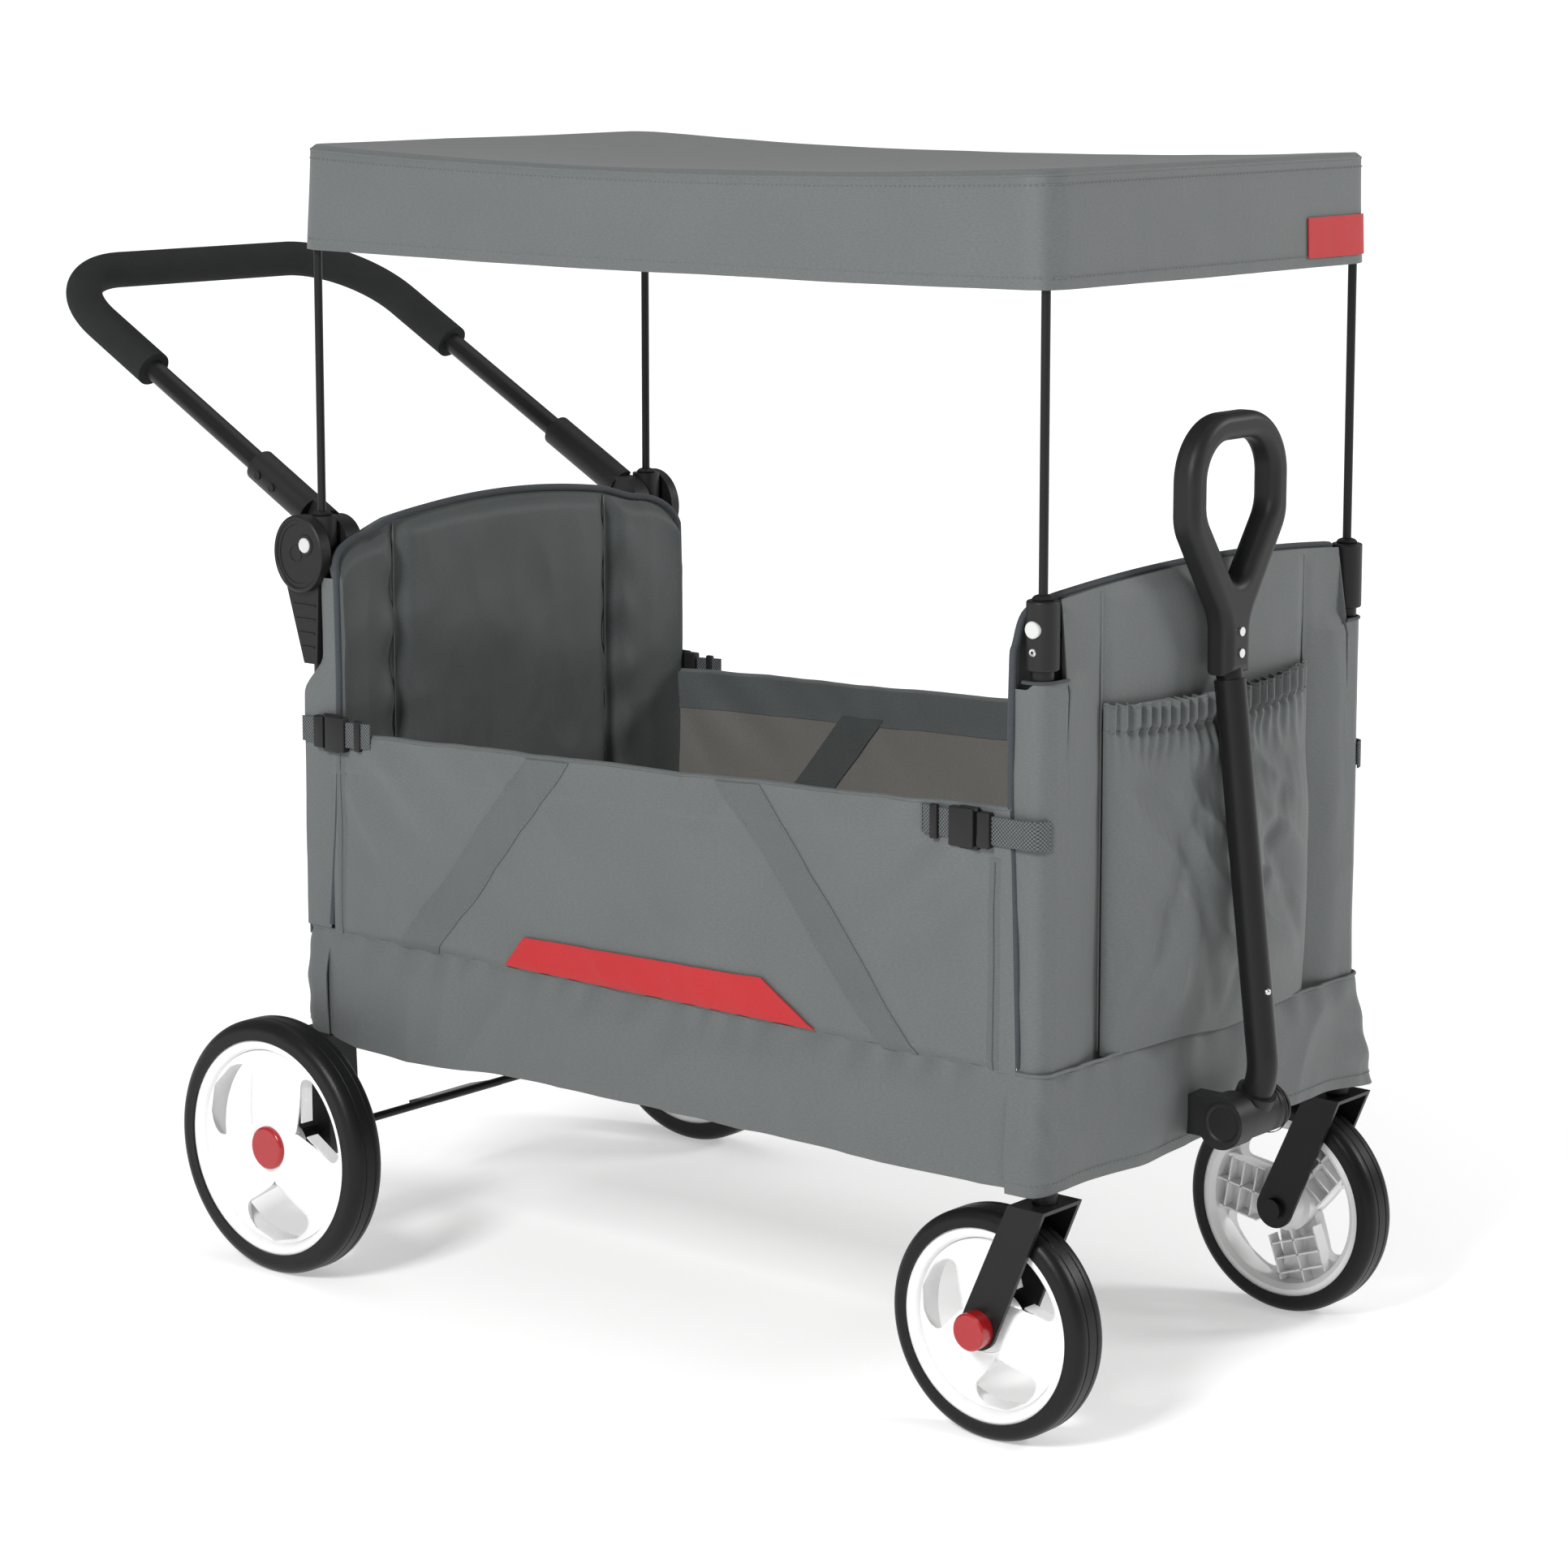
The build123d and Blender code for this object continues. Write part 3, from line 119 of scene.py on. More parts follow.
class Shade:
    """A socket of a finish's nodes, so that shader maths reads as plain sums."""

    def __init__(self, tree, socket):
        self.tree, self.socket = tree, socket

    def maths(self, operation, other, swapped=False):
        node = self.tree.nodes.new("ShaderNodeMath")
        node.operation = operation
        pair = (other, self) if swapped else (self, other)
        for socket, value in zip(node.inputs, pair):
            feed(self.tree, socket, value)
        return Shade(self.tree, node.outputs[0])

    def __add__(self, other):
        return self.maths("ADD", other)

    def __sub__(self, other):
        return self.maths("SUBTRACT", other)

    def __rsub__(self, other):
        return self.maths("SUBTRACT", other, True)

    def __mul__(self, other):
        return self.maths("MULTIPLY", other)

    __radd__, __rmul__ = __add__, __mul__


class Finish:
    """A material: the shader's fixed sockets, and nodes for what changes over a surface."""

    def __init__(self, name, **fixed):
        self.material = bpy.data.materials.new(name)
        self.material.use_nodes = True
        self.tree = self.material.node_tree
        self.shader = self.tree.nodes["Principled BSDF"]
        for socket, value in fixed.items():
            self.set(socket.replace("_", " "), value)

    def set(self, socket, value):
        feed(self.tree, self.shader.inputs[socket], value)

    def node(self, kind, settings=None, inputs=None, out=0):
        made = self.tree.nodes.new("ShaderNode" + kind)
        for key, value in (settings or {}).items():
            if key == "stops":
                ramp = made.color_ramp.elements
                for stop, (place, shade) in zip(ramp, value):
                    stop.position, stop.color = place, (shade, shade, shade, 1)
            else:
                setattr(made, key, value)
        for socket, value in (inputs or {}).items():
            feed(self.tree, made.inputs[socket], value)
        return Shade(self.tree, made.outputs[out])

    def grain(self, where, scale, detail=3.0, rough=0.55):
        """Cloudy noise from 0 to 1, scale in lumps to the metre."""
        return self.node("TexNoise", None, {"Vector": where, "Scale": scale,
                                            "Detail": detail, "Roughness": rough})

    def between(self, low, high, share):
        return self.node("Mix", {"data_type": "RGBA"}, {0: share, 6: low, 7: high}, 2)

    def steps(self, value, low, high):
        """0 below low, 1 above high."""
        return self.node("ValToRGB", {"stops": ((low, 0.0), (high, 1.0))}, {"Fac": value})

    def bump(self, height, strength, depth):
        self.set("Normal", self.node("Bump", None, {"Height": height, "Strength": strength,
                                                    "Distance": depth}))


def moulded(name, colour, rough, grain_scale, grain_depth, **fixed):
    """Coating or plastic with a fine grain, faint clouding and slightly duller patches."""
    finish = Finish(name, **fixed)
    where = finish.node("TexCoord", out=3)
    cloud = finish.grain(where, 22)
    speck = finish.grain(where, grain_scale, 2.0)
    light = tuple(min(1, c * 1.22 + 0.002) for c in colour)
    finish.set("Base Color", finish.between(colour, light, cloud * 0.6 + speck * 0.4))
    finish.set("Roughness", cloud * 0.12 + speck * 0.06 + (rough - 0.09))
    finish.bump(speck, 0.5, grain_depth)
    return finish.material


black_coat = moulded("black_powder_coat", (0.008, 0.008, 0.0085), 0.34, 1400, 0.00012,
                     Specular_IOR_Level=0.22)
bar_coat = moulded("bar_paint", (0.012, 0.012, 0.013), 0.45, 900, 0.0001,
                   Specular_IOR_Level=0.25)
bright_zinc = moulded("bright_zinc", (0.55, 0.55, 0.56), 0.3, 1100, 0.00008, Metallic=1.0)


def coat(material, *nodes):
    """Gives CAD pieces their finish."""
    for node in nodes:
        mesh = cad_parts[node].data
        mesh.materials.clear()
        mesh.materials.append(material)


coat(black_coat, "rear_frame_tubes", "front_frame_tubes", "canopy_hoop_rear",
     "canopy_hoop_front", "push_tube", "pull_tube", "pull_inner_tube", "rear_axle",
     "brake_bar", "handle_rivets", "caster_bearings")
coat(bar_coat, "scissor_bar_rear_low", "scissor_bar_rear_high", "scissor_bar_front_low",
     "scissor_bar_front_high")
coat(bright_zinc, "pull_screws")

hoop_low, hoop_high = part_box("canopy_hoop_rear")
rear_x = (hoop_low[0] + hoop_high[0]) / 2
pole_r = (hoop_high[0] - hoop_low[0]) / 2
post_y = hoop_high[1] - pole_r
hoop_low, hoop_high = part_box("canopy_hoop_front")
front_x = (hoop_low[0] + hoop_high[0]) / 2
middle_x = (rear_x + front_x) / 2
sides = ((1, "left"), (-1, "right"))

# Moulded brackets: corner brackets low on the frame, egg-shaped hubs for the push handle
# and sockets for the canopy poles. They are injection moulded black nylon with a fine
# grain, and the spring buttons are light grey.
black_nylon = moulded("black_nylon", (0.011, 0.011, 0.0115), 0.45, 1900, 0.0002,
                      Specular_IOR_Level=0.25)
grey_acetal = moulded("grey_acetal", (0.5, 0.51, 0.5), 0.38, 1300, 0.00008)
coat(black_nylon, "rear_brackets", "front_brackets", "hub_brackets", "handle_release_left",
     "handle_release_right", "front_sockets", "rear_sliders", "front_sliders",
     "handle_connectors", "pull_bracket", "pull_barrel", "pull_loop")
coat(grey_acetal, "canopy_button_rear_left", "canopy_button_rear_right",
     "canopy_button_front_left", "canopy_button_front_right")


def only(piece):
    """Selects this piece alone and makes it active."""
    bpy.ops.object.select_all(action="DESELECT")
    piece.select_set(True)
    bpy.context.view_layer.objects.active = piece
    return piece


def fit(piece, material, body):
    """Finish and carrier of a piece, whose place goes into its mesh first."""
    only(piece)
    bpy.ops.object.transform_apply(location=True, rotation=True, scale=True)
    if material:
        piece.data.materials.clear()
        piece.data.materials.append(material)
    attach(piece, body)
    return piece


def apply(piece, kind, **settings):
    """Adds a modifier with these settings and applies it."""
    bpy.context.view_layer.objects.active = piece
    modifier = piece.modifiers.new(kind.lower(), kind)
    for key, value in settings.items():
        setattr(modifier, key, value)
    bpy.ops.object.modifier_apply(modifier=modifier.name)
    return piece


def outward(piece):
    """Turns every face's normal outwards."""
    bpy.ops.object.mode_set(mode="EDIT")
    bpy.ops.mesh.select_all(action="SELECT")
    bpy.ops.mesh.normals_make_consistent(inside=False)
    bpy.ops.object.mode_set(mode="OBJECT")
    return piece


def joined(pieces, name):
    """Joins pieces into the first of them."""
    for piece in pieces:
        piece.select_set(True)
    bpy.context.view_layer.objects.active = pieces[0]
    bpy.ops.object.join()
    bpy.context.object.name = name
    return bpy.context.object


def smooth(piece, angle=35):
    only(piece)
    bpy.ops.object.shade_smooth_by_angle(angle=radians(angle))
    return piece


def turned(name, at, side, profile, steps=72):
    """Turned piece about an axis along Y through at. profile: (radius, distance outwards)."""
    bpy.ops.object.select_all(action="DESELECT")
    bpy.ops.mesh.primitive_circle_add(vertices=steps, radius=1)
    piece = bpy.context.object
    piece.name = name
    bpy.ops.object.mode_set(mode="EDIT")
    mesh = bmesh.from_edit_mesh(piece.data)
    angles = [2 * pi * k / steps for k in range(steps)]
    ring = [v for v in mesh.verts]
    ring.sort(key=lambda v: atan2(v.co.y, v.co.x) % (2 * pi))
    for number, (radius, out) in enumerate(profile):
        if number:
            bpy.ops.mesh.extrude_region_move()
            mesh = bmesh.from_edit_mesh(piece.data)
            ring = [v for v in mesh.verts if v.select]
            ring.sort(key=lambda v: atan2(v.co.z - at[2], v.co.x - at[0]) % (2 * pi))
        for vertex, angle in zip(ring, angles):
            vertex.co = (at[0] + radius * cos(angle + 0.001), at[1] + side * out,
                         at[2] + radius * sin(angle + 0.001))
        bmesh.update_edit_mesh(piece.data)
    bpy.ops.mesh.select_all(action="SELECT")
    bpy.ops.mesh.remove_doubles(threshold=0.00002)
    bpy.ops.mesh.normals_make_consistent(inside=False)
    bpy.ops.object.mode_set(mode="OBJECT")
    return smooth(piece)


hub_low, hub_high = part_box("handle_release_left")
hub_x, hub_z = (hub_low[0] + hub_high[0]) / 2, (hub_low[2] + hub_high[2]) / 2
hub_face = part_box("hub_brackets")[1][1]
for side, name in sides:
    rim = turned(f"hub_rim_{name}", (hub_x, side * hub_face, hub_z), side,
                 ((0.0292, -0.004), (0.0292, 0.0004), (0.0302, 0.0014), (0.0318, 0.0014),
                  (0.0332, 0.0002), (0.0334, -0.004), (0.0292, -0.004)))
    for vertex in rim.data.vertices:
        vertex.co.z = hub_z + (vertex.co.z - hub_z) * 1.12
    fit(rim, black_nylon, "rear_frame")
    mark = turned(f"release_mark_{name}", (hub_x - 0.004, side * (hub_face - 0.0006), hub_z), side,
                  ((0.0075, -0.001), (0.0075, 0.0006), (0.0085, 0.0006), (0.0085, -0.001),
                   (0.0075, -0.001)), 32)
    fit(mark, black_nylon, f"handle_release_{name}")
    for x, z, body in ((rear_x, 0.7333, "rear_frame"), (front_x, 0.7333, "front_frame")):
        collar = turned(f"pole_collar_{body}_{name}", (x, 0, 0), 1,
                        ((0.0046, 0), (0.0092, 0), (0.0096, 0.0012), (0.0078, 0.0032),
                         (0.0052, 0.0042), (0.0046, 0.003), (0.0046, 0)), 40)
        for vertex in collar.data.vertices:
            across, up = vertex.co.z, vertex.co.y
            vertex.co.y, vertex.co.z = side * post_y + across, z + up
        fit(outward(collar), black_nylon, body)
    screw = turned(f"socket_screw_{name}", (front_x, side * (post_y + 0.0143), 0.6905), side,
                   ((0.0001, -0.0035), (0.0035, -0.0035), (0.0035, 0.0003), (0.0028, 0.001),
                    (0.0014, 0.0008), (0.0012, -0.0004), (0.0001, -0.0004)), 24)
    fit(screw, bright_zinc, "front_frame")
    ribs = []
    for step in range(4):
        bpy.ops.object.select_all(action="DESELECT")
        bpy.ops.mesh.primitive_cube_add(size=1, location=(
            rear_x - 0.004 - 0.0015 * step, side * 0.2502, 0.606 + step * 0.0135))
        bpy.context.object.scale = (0.017 + 0.0045 * step, 0.0016, 0.0022)
        ribs.append(bpy.context.object)
    rib = joined(ribs, f"hub_ribs_{name}")
    bpy.ops.object.transform_apply(location=True, rotation=True, scale=True)
    apply(rib, "BEVEL", width=0.0005, segments=2)
    fit(rib, black_nylon, "rear_frame")

# Fabric: woven polyester with a heathered yarn for the outside, a darker one for the
# backrest and the lining, a ribbed tape that binds the edges, and thread. Panels are cut,
# sewn and hung on the frame.


def woven(name, colour, fleck, rough=0.6, pitch=0.0012, crease=0.35):
    """Plain weave on the piece's own map, in metres, with flecked yarn and soft creases."""
    finish = Finish(name, Sheen_Weight=0.1, Sheen_Roughness=0.5, Specular_IOR_Level=0.45)
    where = finish.node("UVMap", {"uv_map": "weave"})
    turn = 2 * pi / pitch
    warp = finish.node("SeparateXYZ", None, {"Vector": where}, 0)
    weft = finish.node("SeparateXYZ", None, {"Vector": where}, 1)
    over = (warp * turn).maths("SINE", 0) * (weft * turn).maths("SINE", 0)
    along = finish.node("VectorMath", {"operation": "MULTIPLY"},
                        {0: where, 1: (260.0, 900.0, 1.0)})
    yarn = finish.grain(along, 1.0, 3.0, 0.7)
    cloud = finish.grain(where, 9.0, 2.0)
    share = finish.steps(yarn, 0.36, 0.66)
    tone = finish.between(colour, fleck, share)
    dull = tuple(c * 0.9 for c in colour)
    finish.set("Base Color", finish.between(tone, dull, cloud * 0.55))
    finish.set("Roughness", yarn * 0.1 + (rough - 0.05))
    soft = finish.grain(where, 16.0, 3.0, 0.45)
    finish.bump(over * 0.05 + yarn * 0.12 + soft * crease * 8.0, 0.5, 0.001)
    return finish.material


grey_cloth = woven("grey_woven", (0.094, 0.103, 0.102), (0.128, 0.138, 0.137))
dark_cloth = woven("dark_woven", (0.052, 0.059, 0.058), (0.074, 0.083, 0.081))
lining_cloth = woven("lining_woven", (0.145, 0.138, 0.128), (0.190, 0.181, 0.168))
# the strip cloth is a darker copy of the grey outer cloth: painted shade that stands in for the
# strips' different sheen. The inside hems and the zip tapes use it too.
shaded_strip_cloth = woven("strip_woven_painted_shade", (0.081, 0.089, 0.089), (0.110, 0.119, 0.119))
binding_tape = woven("binding_tape", (0.03, 0.036, 0.042), (0.052, 0.06, 0.068), 0.8, 0.0025, 0.1)
thread = moulded("thread", (0.12, 0.13, 0.128), 0.7, 2500, 0.0001)


def weave_map(piece):
    """Lays the weave over a piece in metres, along whichever axes its faces lie nearest."""
    mesh = piece.data
    layer = mesh.uv_layers.get("weave") or mesh.uv_layers.new(name="weave")
    mesh.uv_layers.active = layer
    for face in mesh.polygons:
        lean = [abs(c) for c in face.normal]
        if lean[2] >= max(lean[0], lean[1]):
            a, b = 0, 1
        elif lean[1] >= lean[0]:
            a, b = 0, 2
        else:
            a, b = 1, 2
        for corner in face.loop_indices:
            co = mesh.vertices[mesh.loops[corner].vertex_index].co
            layer.data[corner].uv = (co[a], co[b])


def cloth(name, across, up, at, thick=0.0015, offset=0.0):
    """Sheet of across by up squares laid by at(u, v), u and v from 0 to 1, then given its
    thickness towards its back."""
    bpy.ops.object.select_all(action="DESELECT")
    bpy.ops.mesh.primitive_grid_add(x_subdivisions=across, y_subdivisions=up, size=2)
    piece = bpy.context.object
    piece.name = name
    for vertex in piece.data.vertices:
        vertex.co = at((vertex.co.x + 1) / 2, (vertex.co.y + 1) / 2)
    if thick:
        apply(piece, "SOLIDIFY", thickness=thick, offset=offset)
    weave_map(piece)
    return smooth(piece, 60)


def piping(name, points, radius, material, body):
    """Cord-filled binding sewn along an edge."""
    line = bpy.data.curves.new(name, "CURVE")
    line.dimensions = "3D"
    spline = line.splines.new("NURBS")
    spline.points.add(len(points) - 1)
    for slot_point, point in zip(spline.points, points):
        slot_point.co = (*point, 1)
    spline.order_u = 3
    spline.use_endpoint_u = True
    spline.resolution_u = 4
    line.bevel_depth, line.bevel_resolution, line.use_fill_caps = radius, 2, True
    piece = bpy.data.objects.new(name, line)
    scene.collection.objects.link(piece)
    only(piece)
    bpy.ops.object.convert(target="MESH")
    piece = bpy.context.object
    weave_map(piece)
    smooth(piece, 60)
    return fit(piece, material, body)


def stitches(name, points, body, material=thread, pitch=0.0052, size=1.0):
    """Row of single stitches along a line, each a short thread that dips into the cloth."""
    line = bpy.data.curves.new(name + "_line", "CURVE")
    line.dimensions = "3D"
    spline = line.splines.new("POLY")
    spline.points.add(len(points) - 1)
    for slot_point, point in zip(spline.points, points):
        slot_point.co = (*point, 1)
    guide = bpy.data.objects.new(name + "_line", line)
    scene.collection.objects.link(guide)
    bpy.ops.object.select_all(action="DESELECT")
    bpy.ops.mesh.primitive_uv_sphere_add(segments=6, ring_count=4, radius=0.001)
    piece = bpy.context.object
    piece.name = name
    piece.scale = (1.65 * size, 0.5 * size, 0.5 * size)
    bpy.ops.object.transform_apply(location=True, rotation=True, scale=True)
    apply(piece, "ARRAY", fit_type="FIT_CURVE", curve=guide, use_relative_offset=False,
          use_constant_offset=True, constant_offset_displace=(pitch, 0, 0))
    apply(piece, "CURVE", object=guide, deform_axis="POS_X")
    bpy.data.objects.remove(guide)
    for face in piece.data.polygons:
        face.use_smooth = True
    return fit(piece, material, body)


def row_on(surface, v, steps, shift):
    """Places in a row along a surface at its height v, each moved by shift."""
    return [Vector(surface(step / steps, v)) + Vector(shift) for step in range(steps + 1)]


def crumple(x, z, seed, scale=7.0):
    """Soft, uneven creases, about -1 to 1."""
    first = noise.noise(Vector((x * scale, z * scale * 1.3, seed)))
    ridge = 1 - 2 * abs(noise.noise(Vector((x * scale * 1.9, z * scale * 1.1, seed + 7.3))))
    return 0.65 * first + 0.35 * (ridge - 0.5)


def ramp(value, low, high):
    """Smooth step from 0 at low to 1 at high."""
    t = min(1.0, max(0.0, (value - low) / (high - low)))
    return t * t * (3 - 2 * t)


fold_keep = 0.42                # share of its length that the tub's cloth keeps when folded


def folds(piece):
    """Gives a soft piece its own copy of its mesh."""
    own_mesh(piece)
    return piece


def slides(piece, x):
    """Gives a firm piece its own copy of its mesh. From x it works out how far off an anchor would
    lie for the piece to keep its shape, but nothing uses that."""
    firm_keep = 0.999
    reach = (x - rear_x) * (1 - fold_keep) / (1 - firm_keep)
    x - reach
    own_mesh(piece)
    return piece


def backed(piece, place, material, body):
    """Closes a face into a cushion, whose back is a copy of the face moved by place."""
    bpy.ops.object.mode_set(mode="EDIT")
    bpy.ops.mesh.select_all(action="SELECT")
    bpy.ops.mesh.extrude_region_move()
    bpy.ops.object.mode_set(mode="OBJECT")
    for vertex in piece.data.vertices:
        if vertex.select:
            place(vertex.co)
    weave_map(outward(piece))
    return fit(piece, material, body)


def panel(piece, material, body, flat, loose=False, instead=()):
    """Sewn cloth: flat, its size before it is hung, is not used; loose if it gets its own copy of
    its mesh.
    """
    fit(piece, material, body)
    if instead:
        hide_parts(*instead)
    if loose:
        folds(piece)
    return piece


# Floor: two padded mats, one on each folding board, sewn across in channels. Dark lining
# cloth over thin foam, held to the boards.
for end, body in (("rear", "floor_rear"), ("front", "floor_front")):
    low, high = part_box(f"floor_board_{end}")

    def mat_at(u, v, low=low, high=high):
        x = low[0] + 0.001 + u * (high[0] - low[0] - 0.002)
        y = low[1] + v * (high[1] - low[1])
        edge = min(1.0, 14 * min(u, 1 - u), 14 * min(v, 1 - v))
        channel = abs(sin(pi * (u * 3))) ** 0.35 * abs(sin(pi * v * 2)) ** 0.2
        return (x, y, high[2] + 0.0005 + 0.006 * sqrt(max(edge, 0)) * (0.45 + 0.55 * channel))

    def mat_back(co, low=low):
        co.z = low[2] + 0.0002

    mat = cloth(f"floor_mat_{end}", 60, 60, mat_at, 0.0)
    backed(mat, mat_back, lining_cloth, body)
    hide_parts(f"floor_board_{end}")

# Backrest: a padded board between the rear posts, sewn into a centre and two side panels.
# Its wings curve forward round the hubs, and a bound edge runs up each wing and over the top.
rest_low, rest_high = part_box("backrest_panel")
rest_x = rest_high[0] - 0.012
side_y = 0.2458
tub_low_z, panel_foot = 0.332, 0.3225
corner_y, corner_z = 0.190, 0.6795


def rest_top(y):
    """Height of the backrest's top edge."""
    crown = 0.735 - 0.012 * (abs(y) / 0.152) ** 2
    if abs(y) > corner_y:
        reach = min(1.0, (abs(y) - corner_y) / (side_y - corner_y))
        return corner_z + (rest_top(corner_y) - corner_z) * sqrt(max(0.0, 1 - reach * reach))
    return crown if abs(y) < 0.152 else 0.723 - 0.3 * (abs(y) - 0.152)


def rest_line(s):
    """Plan of the backrest's face: s is the distance from its middle, along the cloth."""
    sign, s = (1 if s >= 0 else -1), abs(s)
    if s < 0.150:
        return rest_x, sign * s
    if s < 0.205:
        t = (s - 0.150) / 0.055
        return rest_x + 0.006 * t * t, sign * s
    bend = min(1.0, (s - 0.205) / 0.062)
    y = 0.205 + (side_y - 0.205) * sin(bend * pi / 2)
    return rest_x + 0.006 + 0.0085 * (1 - cos(bend * pi / 2)) + 0.003 * bend, sign * y


rest_half = 0.267


def rest_face(u, v):
    s = (2 * u - 1) * rest_half
    x, y = rest_line(s)
    top = rest_top(y)
    z = tub_low_z + v * (top - tub_low_z)
    seam = abs(abs(s) - 0.152)
    puff = 1 - exp(-((seam / 0.011) ** 2))
    rim = ramp(v, 0, 0.05) * ramp(1 - v, 0, 0.05)
    rim *= 0.35 + 0.65 * ramp(1 - abs(2 * u - 1), 0, 0.05)
    bulge = 0.0125 * puff * rim
    flow = 0.0048 * crumple(y, z, 3.1, 11) * ramp(v, 0.02, 0.3)
    crease = 0.0030 * exp(-((abs(s) - 0.165) / 0.016) ** 2) * sin(z * 95 + 4 * y)
    return (x + bulge + (flow + crease) * rim, y, z)


def rest_back(co):
    depth = 0.008 + 0.007 * ramp(0.20 - abs(co.y), 0, 0.02)
    co.x = rest_line(co.y)[0] - depth if abs(co.y) < 0.205 else co.x - 0.006


rest = cloth("backrest_cushion", 150, 90, rest_face, 0.0)
backed(rest, rest_back, dark_cloth, "rear_frame")
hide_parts("backrest_panel", "backrest_wings")
edge = []
for side in (-1, 1):
    run = []
    for step in range(26):
        z = tub_low_z + 0.004 + (corner_z - tub_low_z - 0.004) * step / 25
        lean = 0.0035 * sin(pi * step / 25) - 0.012 * (1 - step / 25) ** 2
        run.append((rest_line(rest_half)[0] + 0.002 + lean, side * (side_y + 0.0006), z))
    edge.append(run)
arc = []
for step in range(61):
    s = (-1 + 2 * step / 60) * rest_half
    x, y = rest_line(s)
    arc.append((x + 0.002, y * 1.002, rest_top(y) + 0.0012))
piping("backrest_piping", edge[0] + arc + edge[1][::-1], 0.0034, binding_tape, "rear_frame")
for sign in (-1, 1):
    line = []
    for step in range(40):
        x, y = rest_line(sign * 0.152)
        line.append((x + 0.0006, y, 0.34 + 0.378 * step / 39))
    piping(f"backrest_seam_{'left' if sign > 0 else 'right'}", line, 0.0009, thread, "rear_frame")

# The wings' outer cloth: grey, wrapped from the bound edge back round the rear posts.
for side, name in sides:
    def wing_at(u, v, side=side):
        z = tub_low_z + v * (corner_z - 0.004 - tub_low_z)
        lean = 0.0035 * sin(pi * v) - 0.012 * (1 - v) ** 2
        front = rest_line(rest_half)[0] + 0.001 + lean
        back = rear_x - 0.0125 + 0.0265 * ramp(z, 0.56, 0.6)
        x = front + (back - front) * u
        y = side_y + 0.0008 + 0.0022 * sin(pi * u) + 0.001 * crumple(x, z, side, 12)
        return (x, side * y, z)

    panel(cloth(f"wing_cloth_{name}", 10, 70, wing_at, 0.0012, 1.0 * side), grey_cloth,
          "rear_frame", (0.04, 0.345))


def back_at(u, v):
    y = (2 * u - 1) * 0.2465
    top = 0.552 if abs(y) > 0.216 else rest_top(y) - 0.004
    z = panel_foot + v * (top - panel_foot)
    around = rear_x - 0.0122 if abs(y) > 0.2 else rest_low[0] - 0.001
    return (around - 0.002 * sin(pi * v) + 0.0015 * crumple(y, z, 8.8, 8), y, z)


panel(cloth("backrest_back", 120, 60, back_at, 0.0012, 1.0), grey_cloth, "rear_frame",
      (0.49, 0.40))

# Front panel: a padded board between the front posts. Its wings run behind the canopy
# sockets, then wrap the posts from outside, with a notch where each post comes out.
board_x = front_x - 0.010
face_x = board_x + 0.0135
wrap_out_x = front_x + 0.0128
notch_z, notch_y = 0.664, 0.2125
wrap_turn = 0.016
corner_s = 0.2305 + wrap_turn * pi / 2
wing_back_x = front_x - 0.0205


def front_lean(z):
    """How far the bound edge of the front wings leans forward, most at its foot."""
    return 0.0075 * max(0.0, (0.56 - z) / 0.23)


def panel_top(y):
    return 0.741 - 0.008 * (abs(y) / 0.195) ** 2


def wrap_line(s):
    """Plan of the front cloth from its middle out, round the post, to the bound edge."""
    sign, s = (1 if s >= 0 else -1), abs(s)
    if s < 0.150:
        return face_x, sign * s
    if s < 0.210:
        return face_x + (wrap_out_x - face_x) * ramp(s, 0.150, 0.205), sign * s
    if s < 0.2305:
        return wrap_out_x, sign * s
    if s < corner_s:
        turn = (s - 0.2305) / wrap_turn
        return wrap_out_x - wrap_turn * (1 - cos(turn)), sign * (0.2305 + wrap_turn * sin(turn))
    return wrap_out_x - wrap_turn - (s - corner_s), sign * 0.2465


wrap_half = corner_s + (wrap_out_x - wrap_turn - wing_back_x)


def wrap_face(u, v):
    s = (2 * u - 1) * wrap_half
    x, y = wrap_line(s)
    top = panel_top(y) if abs(s) < notch_y else notch_z - 0.006 * ramp(abs(s), 0.25, 0.26)
    above = v * (top - panel_foot) + panel_foot - notch_z
    z = panel_foot + v * (top - panel_foot)
    if abs(s) > corner_s:
        x += front_lean(z) * (abs(s) - corner_s) / (wrap_half - corner_s)
    if 0.15 < abs(s) < notch_y:
        x += (face_x + 0.0005 - x) * ramp(above, -0.012, 0.012)
    seam = abs(abs(s) - 0.155)
    puff = 1 - exp(-((seam / 0.008) ** 2))
    bulge = (0.0035 if abs(s) < 0.155 else 0.0015) * puff * ramp(v, 0, 0.06) * ramp(1 - v, 0, 0.04)
    flow = 0.0034 * crumple(y, z, 5.5, 11) * ramp(v, 0, 0.06)
    if abs(s) < 0.2305:
        return (x + bulge + flow * 0.6, y, z)
    return (x, y + (1 if y > 0 else -1) * flow * 0.6, z)


panel(cloth("front_panel_cloth", 180, 80, wrap_face, 0.0012, -1.0), grey_cloth, "front_frame",
      (2 * wrap_half, 0.409), instead=("front_panel",))


def inner_at(u, v):
    y = (2 * u - 1) * 0.2435
    behind = ramp(abs(y), 0.205, 0.238)
    x = board_x - 0.0015 - (board_x - wing_back_x - 0.001) * behind
    top = panel_top(y)
    if abs(y) > 0.2:
        reach = min(1, (abs(y) - 0.2) / 0.0435)
        top = 0.69 + (panel_top(0.2) - 0.69) * sqrt(max(0, 1 - reach * reach))
    z = tub_low_z + v * (top - tub_low_z)
    puff = 0.0055 * (1 - behind) * ramp(v, 0, 0.06) * ramp(1 - v, 0, 0.05)
    return (x - puff + 0.001 * crumple(y, z, 2.2, 9), y, z)


